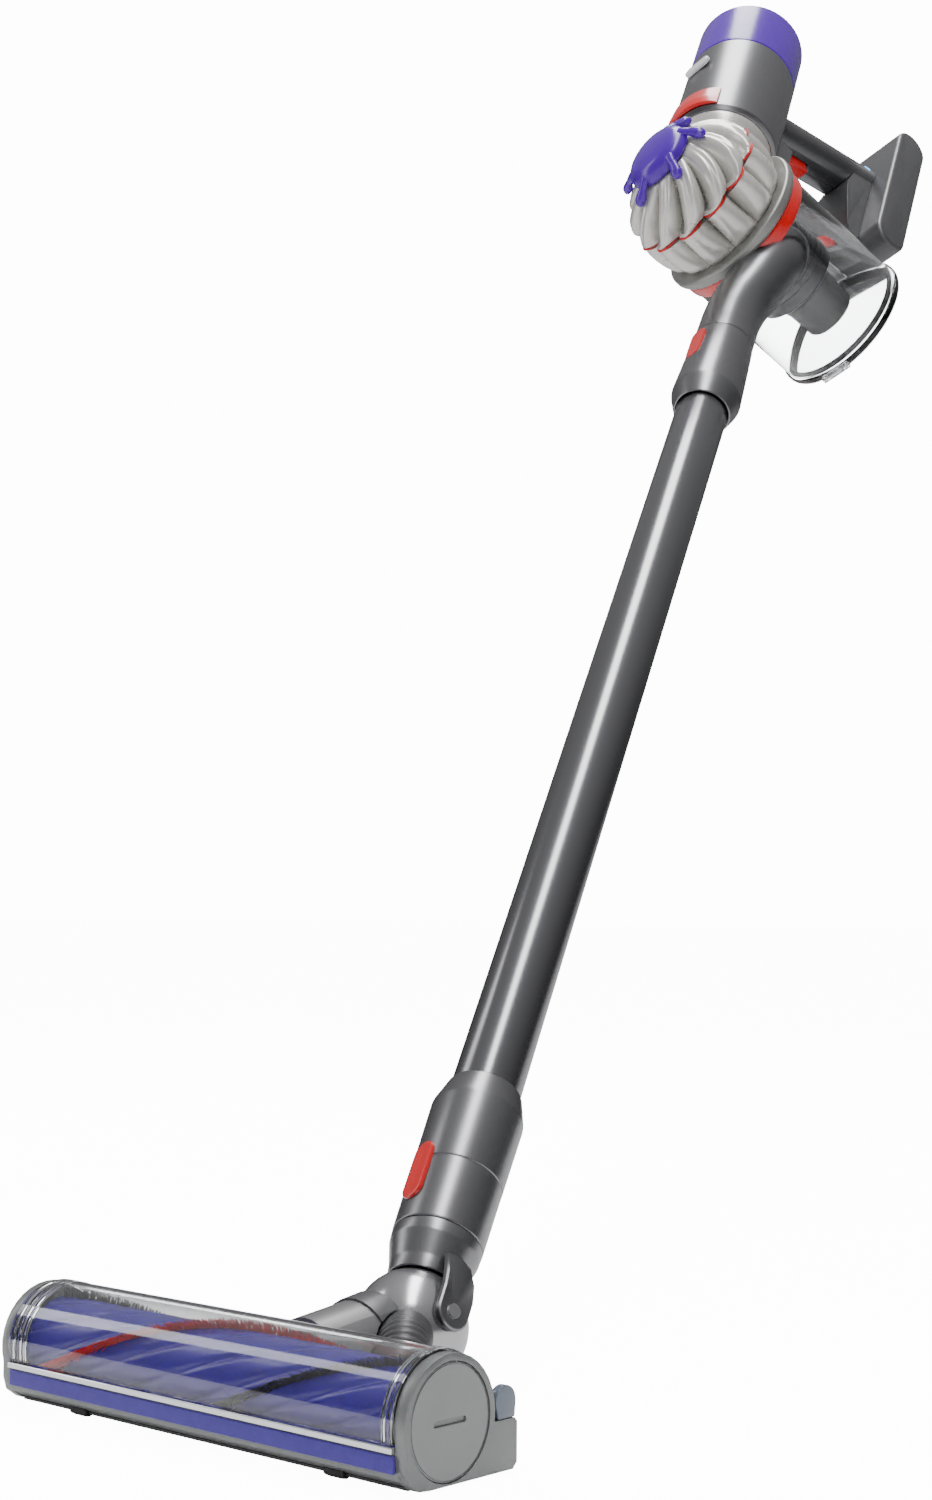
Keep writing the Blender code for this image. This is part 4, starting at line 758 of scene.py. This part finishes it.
# ---- hand unit: socket and inlet duct ----
# The socket takes the wand's top. Above it the duct bulges to the near side and ends in a round shoulder
# that enters the cyclone.
socket_profile = [(0.0194, 0.7470), (0.0198, 0.7472), (0.0240, 0.7615), (0.0245, 0.7640), (0.0226, 0.8090),
    (0.0217, 0.8288), (0.0213, 0.8295), (0.0185, 0.8295), (0.0185, 0.7470)]
settle(turned("socket_turned", rounded(socket_profile, 0.0006, 3, True), wand_axes, 128), metallic, "handset",
    "gunmetal", "inlet_socket")
duct_route = [(0, 0, 0.8298), (0, 0, 0.850), (0.001, 0.000, 0.868), (0.004, 0.001, 0.886),
    (0.010, 0.003, 0.904), (0.0165, 0.005, 0.922), (0.0215, 0.0075, 0.938), (0.0235, 0.0090, 0.950)]
duct_path = smooth_path(duct_route, 60)
duct_radius = np.interp(np.linspace(0, 1, 60), (0, 0.14, 0.3, 0.6, 0.85, 1),
    (0.0214, 0.0212, 0.0212, 0.0218, 0.0220, 0.0206))
dome = np.linspace(0, pi / 2 * 0.98, 14)[1:]
ahead = duct_path[-1] - duct_path[-2]
ahead = ahead / np.linalg.norm(ahead)
duct_path = np.vstack((duct_path, duct_path[-1] + ahead * 0.0195 * np.sin(dome)[:, None]))
duct_radius = np.concatenate((duct_radius, 0.0206 * np.cos(dome) ** 0.9))
settle(tube_along("inlet_duct_swept", duct_path, duct_radius, 112, axes=wand_axes), metallic, "handset",
    "gunmetal", "inlet_duct")

# ---- hand unit: bin, lid and shroud ----
# The bin is a clear tube with a rail on top, closed by a clear lid with a dark seal. The shroud inside is
# a dark cylinder of twelve steps, then a short cone, and ends in a narrower stub.
CYCLONE_DIP = radians(8.38)
cyclone_axes = frame_in(wand_axes, (0, -0.0308, 0.9692), Matrix.Rotation(radians(90) + CYCLONE_DIP, 3, "X"))
BIN_R = 0.0545
bin_profile = rounded([(0.0525, -0.1260), (0.0545, -0.1260), (0.0545, -0.0213), (0.0525, -0.0213)], 0.0006, 3,
    True)
settle(turned("bin_shell", bin_profile, cyclone_axes, 144), clear_plastic, "handset", "clear", "clear_bin")
rail_rows = []
for y, half in ((BIN_R - 0.0008, 0.0040), (BIN_R + 0.0030, 0.0040), (BIN_R + 0.0035, 0.0034)):
    rail_rows.append([(-half, y, -0.1256), (half, y, -0.1256), (half, y, -0.0460), (-half, y, -0.0460)])
rail_points = np.array(rail_rows)
settle(solid_rows("bin_rail", rail_points, cyclone_axes), clear_plastic, "handset", "clear")
lid_profile = rounded([(0, -0.1333), (0.0500, -0.1333), (0.0550, -0.1325), (0.0564, -0.1305),
    (0.0564, -0.1263), (0.0500, -0.1263), (0.0500, -0.1298), (0, -0.1298)], 0.0010, 4)
settle(turned("lid_clear", lid_profile, cyclone_axes, 144), clear_plastic, "bin_lid", "clear", "bin_lid")
seal_black = finish("seal rubber", (0.015, 0.015, 0.016), (0.022, 0.022, 0.022), 0.5)
seal_profile = rounded([(0.0468, -0.1296), (0.0498, -0.1296), (0.0498, -0.1236), (0.0468, -0.1236)], 0.0007,
    3, True)
settle(turned("lid_seal_ring", seal_profile, cyclone_axes, 128), seal_black, "bin_lid", "black_rubber",
    "lid_seal")
hinge_axes = frame_in(cyclone_axes, (0, -0.0599, -0.1278), Matrix.Rotation(radians(90), 3, "Y"))
for start, stop, body, tag in ((-0.0070, 0.0070, "bin_lid", "middle"), (0.0078, 0.0120, "handset", "near"),
        (-0.0120, -0.0078, "handset", "far")):
    barrel = rounded([(0.0015, start), (0.0030, start), (0.0030, stop), (0.0015, stop)], 0.0004, 2, True)
    settle(turned(f"hinge_barrel_{tag}", barrel, hinge_axes, 40), clear_plastic, body, "clear")
shroud_dark = finish("shroud grey", (0.045, 0.045, 0.05), (0.035, 0.035, 0.04), 0.26, 0.8, depth=0.0)
ring_steps = []
for k in range(12):
    base = -0.0120 - 0.0050 * k
    ring_steps += [(0.0360, base), (0.0360, base - 0.0042), (0.0354, base - 0.0044), (0.0354, base - 0.0048)]
shroud_profile = [(0, -0.0121), (0.0360, -0.0121)] + ring_steps[1:] + [(0.0350, -0.0765), (0.0275, -0.0820),
    (0.0236, -0.0822), (0.0230, -0.0840), (0.0225, -0.0900), (0.0216, -0.0902), (0.0206, -0.1130),
    (0.0190, -0.1148), (0, -0.1148)]
settle(turned("shroud_turned", shroud_profile, cyclone_axes, 128), shroud_dark, "handset", "dark_grey",
    "shroud")

# ---- hand unit: red ring and cyclone band ----
# A glossy red ring joins the bin to a grey band, and the cyclones stand on the band.
gloss_red = finish("glossy red", (0.60, 0.002, 0.002), (0.50, 0.001, 0.001), 0.16, coat=0.5)
ring_profile = rounded([(0.0505, -0.0210), (0.0560, -0.0210), (0.0567, -0.0180), (0.0567, -0.0110),
    (0.0555, -0.0093), (0.0505, -0.0093)], 0.0008, 4, True)
settle(turned("red_ring_turned", ring_profile, cyclone_axes, 144), gloss_red, "handset", "red",
    "red_bin_ring")
band_grey = finish("band grey", (0.24, 0.24, 0.23), (0.20, 0.20, 0.19), 0.34, 0.5)
band_profile = rounded([(0.0190, -0.0090), (0.0578, -0.0090), (0.0596, -0.0060), (0.0596, -0.0015),
    (0.0581, 0), (0.0190, 0)], 0.0008, 4, True)
settle(turned("cyclone_band_turned", band_profile, cyclone_axes, 160), band_grey, "handset", "light_grey",
    "cyclone_band")

# ---- hand unit: cyclones ----
# Two tiers of twelve cyclone cones in a warm grey. The lower pods are straight, and the upper ones swirl,
# with a shallow groove along each crest. A thin red gasket follows the scalloped seam between them.
pod_grey = finish("cyclone pod grey", (0.60, 0.59, 0.56), (0.53, 0.52, 0.49), 0.25, 0.45, mottle=22,
    depth=0.00001)
LOBES = 12


def pod_tier(name, stations, swirl, depth, ridge):
    """A tier: the radius along the stations, less a part-round dip between lobes, with a shallow groove
    along each crest. A lobe's angle drifts by the swirl from the first station to the last."""
    stations = np.asarray(stations, float)
    share = np.linspace(0, 1, len(stations))
    fine = np.linspace(0, 1, 46)
    radius = np.interp(fine, share, stations[:, 0])
    height = np.interp(fine, share, stations[:, 1])
    valley = np.interp(fine, share, depth)
    crest = np.interp(fine, share, ridge)
    kernel = np.array([1, 2, 3, 2, 1]) / 9
    for values in (radius, height, valley, crest):
        values[2:-2] = np.convolve(values, kernel, "valid")
    angle = 2 * pi * np.arange(LOBES * 24) / (LOBES * 24)
    phase = LOBES * (angle[None, :] - swirl * fine[:, None]) / 2
    off_crest = np.arccos(np.clip(np.abs(np.cos(phase)), 0, 1)) * 2 / pi
    sink = (1 - np.sqrt(1 - 0.97 * off_crest ** 2)) / (1 - sqrt(0.03))
    reach = radius[:, None] - valley[:, None] * sink - crest[:, None] * np.exp(-(off_crest / 0.15) ** 2)
    lift = height[:, None] - 0.3 * valley[:, None] * sink * (height[:, None] > stations[0, 1] + 0.002)
    rows = np.stack((reach * np.cos(angle), reach * np.sin(angle), lift), -1)
    inner = 0.0165
    first = np.stack((inner * np.cos(angle), inner * np.sin(angle), np.full(len(angle), stations[0, 1])), -1)
    last = np.stack((inner * np.cos(angle), inner * np.sin(angle),
        np.full(len(angle), stations[-1, 1] - 0.0004)), -1)
    points = np.concatenate((first[None], rows, last[None]))
    return outward(grid_mesh(name, put(points, cyclone_axes), True, True))


lower_stations = [(0.0500, 0.0003), (0.0535, 0.0040), (0.0562, 0.0120), (0.0573, 0.0210), (0.0572, 0.0290),
    (0.0562, 0.0340)]
settle(pod_tier("cyclone_pods_lower", lower_stations, 0.0, (0.0030, 0.0080, 0.0135, 0.0170, 0.0185, 0.0160),
    (0,) * 6), pod_grey, "handset", "light_grey", "cyclone_lower_tier")
gasket_red = finish("gasket red", (0.60, 0.002, 0.002), (0.50, 0.001, 0.001), 0.4)
gasket_stations = [(0.0566, 0.0343), (0.0574, 0.0346), (0.0574, 0.0352), (0.0566, 0.0355)]
settle(pod_tier("cyclone_gasket_scalloped", gasket_stations, 0.0, (0.0158,) * 4, (0,) * 4), gasket_red,
    "handset", "red", "cyclone_gasket")
upper_stations = [(0.0560, 0.0358), (0.0568, 0.0385), (0.0564, 0.0430), (0.0538, 0.0500), (0.0492, 0.0562),
    (0.0430, 0.0616), (0.0360, 0.0662), (0.0290, 0.0698)]
settle(pod_tier("cyclone_pods_upper", upper_stations, radians(40), (0.0158, 0.0190, 0.0195, 0.0185, 0.0165,
    0.0130, 0.0080, 0.0035), (0, 0.0004, 0.0014, 0.0020, 0.0022, 0.0018, 0.0010, 0)), pod_grey, "handset",
    "light_grey", "cyclone_upper_tier")

# ---- hand unit: pre-motor filter ----
# A purple translucent dome on top of the cyclones, with six rounded claws that reach between the pods. The
# white felt filter hangs from it.
purple = finish("translucent purple", (0.085, 0.003, 0.42), (0.060, 0.002, 0.32), 0.20, transmission=0.15)
dome_profile = rounded([(0, 0.0703), (0.0264, 0.0703), (0.0274, 0.0725), (0.0258, 0.0780), (0.0200, 0.0825),
    (0.0100, 0.0845), (0, 0.0849)], 0.0030, 6)
settle(turned("prefilter_dome", dome_profile, cyclone_axes, 96), purple, "prefilter", "purple",
    "prefilter_cap")
for k in range(6):
    turn = 2 * pi * k / 6 + radians(12)
    share = np.linspace(0, 1, 26)
    bend = turn - radians(16) * share
    reach = 0.0215 + 0.0185 * share
    height = 0.0772 - 0.0108 * share ** 1.5
    claw_path = np.stack((reach * np.cos(bend), reach * np.sin(bend), height), -1)
    claw_radius = np.interp(share, (0, 0.1, 0.45, 0.8, 0.95, 1), (0.0006, 0.0042, 0.0032, 0.0048, 0.0034,
        0.0006))
    settle(tube_along(f"prefilter_claw_{k}", claw_path, claw_radius, 24, 0.8, cyclone_axes), purple,
        "prefilter", "purple")
felt_white = finish("filter felt", (0.80, 0.80, 0.78), (0.74, 0.74, 0.72), 0.9, grain=1500, depth=0.0002)
settle(turned("prefilter_felt", rounded([(0, -0.008), (0.0150, -0.008), (0.0150, 0.0698), (0, 0.0698)], 0.001,
    3), cyclone_axes, 64), felt_white, "prefilter", "filter", "prefilter_core")

# ---- hand unit: motor ----
# A satin metallic housing holds the motor and its impeller, over a pale shoulder. The purple exhaust cap
# turns off it, and has the pleated filter ring inside.
motor_axes = frame_in(wand_axes, (0, -0.0587, 1.1379), Matrix.Rotation(radians(2.1), 3, "X"))
housing_profile = [(0.0100, -0.1060), (0.0393, -0.1060), (0.0423, -0.1030), (0.0423, -0.0012), (0.0418, 0.0),
    (0.0398, 0.0), (0.0398, -0.1020), (0.0100, -0.1020)]
settle(turned("housing_turned", rounded(housing_profile, 0.0008, 4, True), motor_axes, 144), metallic,
    "handset", "gunmetal", "motor_housing")
shoulder_profile = rounded([(0, -0.1063), (0.0392, -0.1063), (0.0385, -0.1090), (0.0330, -0.1180),
    (0.0240, -0.1230), (0, -0.1240)], 0.0030, 5)
settle(turned("crown_shoulder", shoulder_profile, motor_axes, 96), pod_grey, "handset", "light_grey")
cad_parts["motor_can"].data.materials[0] = motor_metal
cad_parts["impeller"].data.materials[0] = turned_steel
cap_profile = rounded([(0.0421, 0.0003), (0.0423, 0.0030), (0.0423, 0.0570), (0.0387, 0.0611),
    (0.0130, 0.0611), (0.0130, 0.0593), (0.0378, 0.0593), (0.0401, 0.0560), (0.0401, 0.0003)], 0.0012, 4,
    True)
settle(turned("exhaust_cap_turned", cap_profile, motor_axes, 144), purple, "exhaust", "purple", "exhaust_cap")


def pleats(radius, height, angle):
    """Filter paper in 60 pleats: the outer radius moves in and out with the angle."""
    fold = np.where(radius > 0.030, 0.0012 * (1 - np.abs(np.cos(angle * 30))), 0)
    return radius - fold, height


filter_profile = rounded([(0.0240, 0.0040), (0.0398, 0.0040), (0.0398, 0.0553), (0.0240, 0.0553)], 0.0005, 2,
    True)
settle(turned("exhaust_filter_pleated", filter_profile, motor_axes, 480, pleats), felt_white, "exhaust",
    "filter", "exhaust_filter")

# ---- hand unit: bin-release slider and mode switch ----
# A curved red slider hugs the front of the housing, and a pale oblong switch sits above it.
slider_angle = np.linspace(radians(-128), radians(-52), 60)


def curved_slider():
    """A bar bent round the housing: a rounded section carried from one angle to the other, thinner at
    its ends."""
    section = rounded([(0.0426, -0.1030), (0.0460, -0.1030), (0.0467, -0.0950), (0.0452, -0.0800),
        (0.0426, -0.0790)], 0.0014, 4, True)
    swell = np.sin(np.linspace(0.10, pi - 0.10, 60))[:, None] ** 0.35
    radius = 0.0426 + (section[None, :, 0] - 0.0426) * swell
    points = np.stack((radius * np.cos(slider_angle)[:, None], radius * np.sin(slider_angle)[:, None],
        np.broadcast_to(section[None, :, 1], radius.shape)), -1)
    return solid_rows("release_slider_curved", points, motor_axes)


settle(curved_slider(), button_red, "bin_release", "red", "bin_release_slider")
switch_pale = finish("switch pale grey", (0.72, 0.72, 0.74), (0.66, 0.66, 0.68), 0.25, 0.2, coat=0.3)
switch_face = frame_in(motor_axes, (0, -0.0426 - 0.0032, -0.0290),
    Matrix.Rotation(radians(90), 3, "X") @ Matrix.Rotation(radians(90), 3, "Z"))
settle(crowned_oblong("mode_switch_crowned", switch_face, 0.0240, 0.0100, 0.0030, 0.0016), switch_pale,
    "mode_switch", "light_grey", "mode_switch")

# ---- hand unit: spine, grip and trigger ----
# The grip is moulded in two shells that meet along its middle. It runs back and up from the housing to the
# battery's foot, with the red trigger under its front.
softened("body_spine", metallic, "handset", "gunmetal", 0.0020, 4)
grip_axes = frame_in(wand_axes, (0, 0.0280, 1.1460), Matrix.Rotation(radians(29 - 90), 3, "X"))
grip_metallic = finish("grip gunmetal", (0.13, 0.13, 0.135), (0.11, 0.11, 0.115), 0.30, 0.85, depth=0.00001)
for label in ("near", "far"):
    softened(f"grip_shell_{label}", grip_metallic, "handset", "gunmetal", 0.0002, 2)
softened("trigger", button_red, "trigger", "red", 0.0022, 5)
softened("battery_foot", grip_metallic, "handset", "dark_grey", 0.0024, 5)
softened("battery_latch", button_red, "battery_latch", "red", 0.0008, 3)

# ---- hand unit: status light ----
# A small round lens at the back end of the grip's near side, lit blue.
lens_axes = frame_in(grip_axes, (0, 0, 0.0550),
    Matrix.Rotation(radians(90), 3, "Y") @ Matrix.Rotation(radians(28), 3, "X"))
blue = finish("lamp blue", (0.10, 0.45, 0.95), (0.08, 0.40, 0.90), 0.2)
blue.node_tree.nodes["Principled BSDF"].inputs["Emission Color"].default_value = (0.10, 0.50, 1.0, 1)
blue.node_tree.nodes["Principled BSDF"].inputs["Emission Strength"].default_value = 2.5
lens_profile = rounded([(0, 0.0158), (0.0030, 0.0158), (0.0030, 0.0178), (0.0022, 0.0181), (0, 0.0182)],
    0.0004, 3)
settle(turned("status_lens_turned", lens_profile, lens_axes, 40), blue, "handset", "clear", "status_lens")

# ---- battery ----
# A dark slab with round ends that slides off the back of the grip. Its outline is
# carried across the slab in rows, drawn in at both sides by rounded edges.
battery_axes = frame_in(wand_axes, (0, 0.0960, 1.1550), Matrix.Rotation(radians(90), 3, "Y"))
case_grey = finish("battery case grey", (0.075, 0.075, 0.08), (0.06, 0.06, 0.065), 0.34, 0.35)


def battery_case():
    """The slab: an oblong outline in rows across its width, drawn in at both ends by rounded edges."""
    rows = []
    for x, inset in ((-0.0375, 0.0030), (-0.0372, 0.0018), (-0.0364, 0.0008), (-0.0350, 0.0001),
            (-0.0335, 0.0), (0.0335, 0.0), (0.0350, 0.0001), (0.0364, 0.0008), (0.0372, 0.0018),
            (0.0375, 0.0030)):
        ring = oblong(0.1720 - 2 * inset, 0.0310 - 2 * inset, 128)
        rows.append(np.column_stack((-ring[:, 1], ring[:, 0], np.full(128, x))))
    points = np.array(rows)
    return solid_rows("battery_case", points, battery_axes)


settle(battery_case(), case_grey, "battery", "dark_grey", "battery_pack")
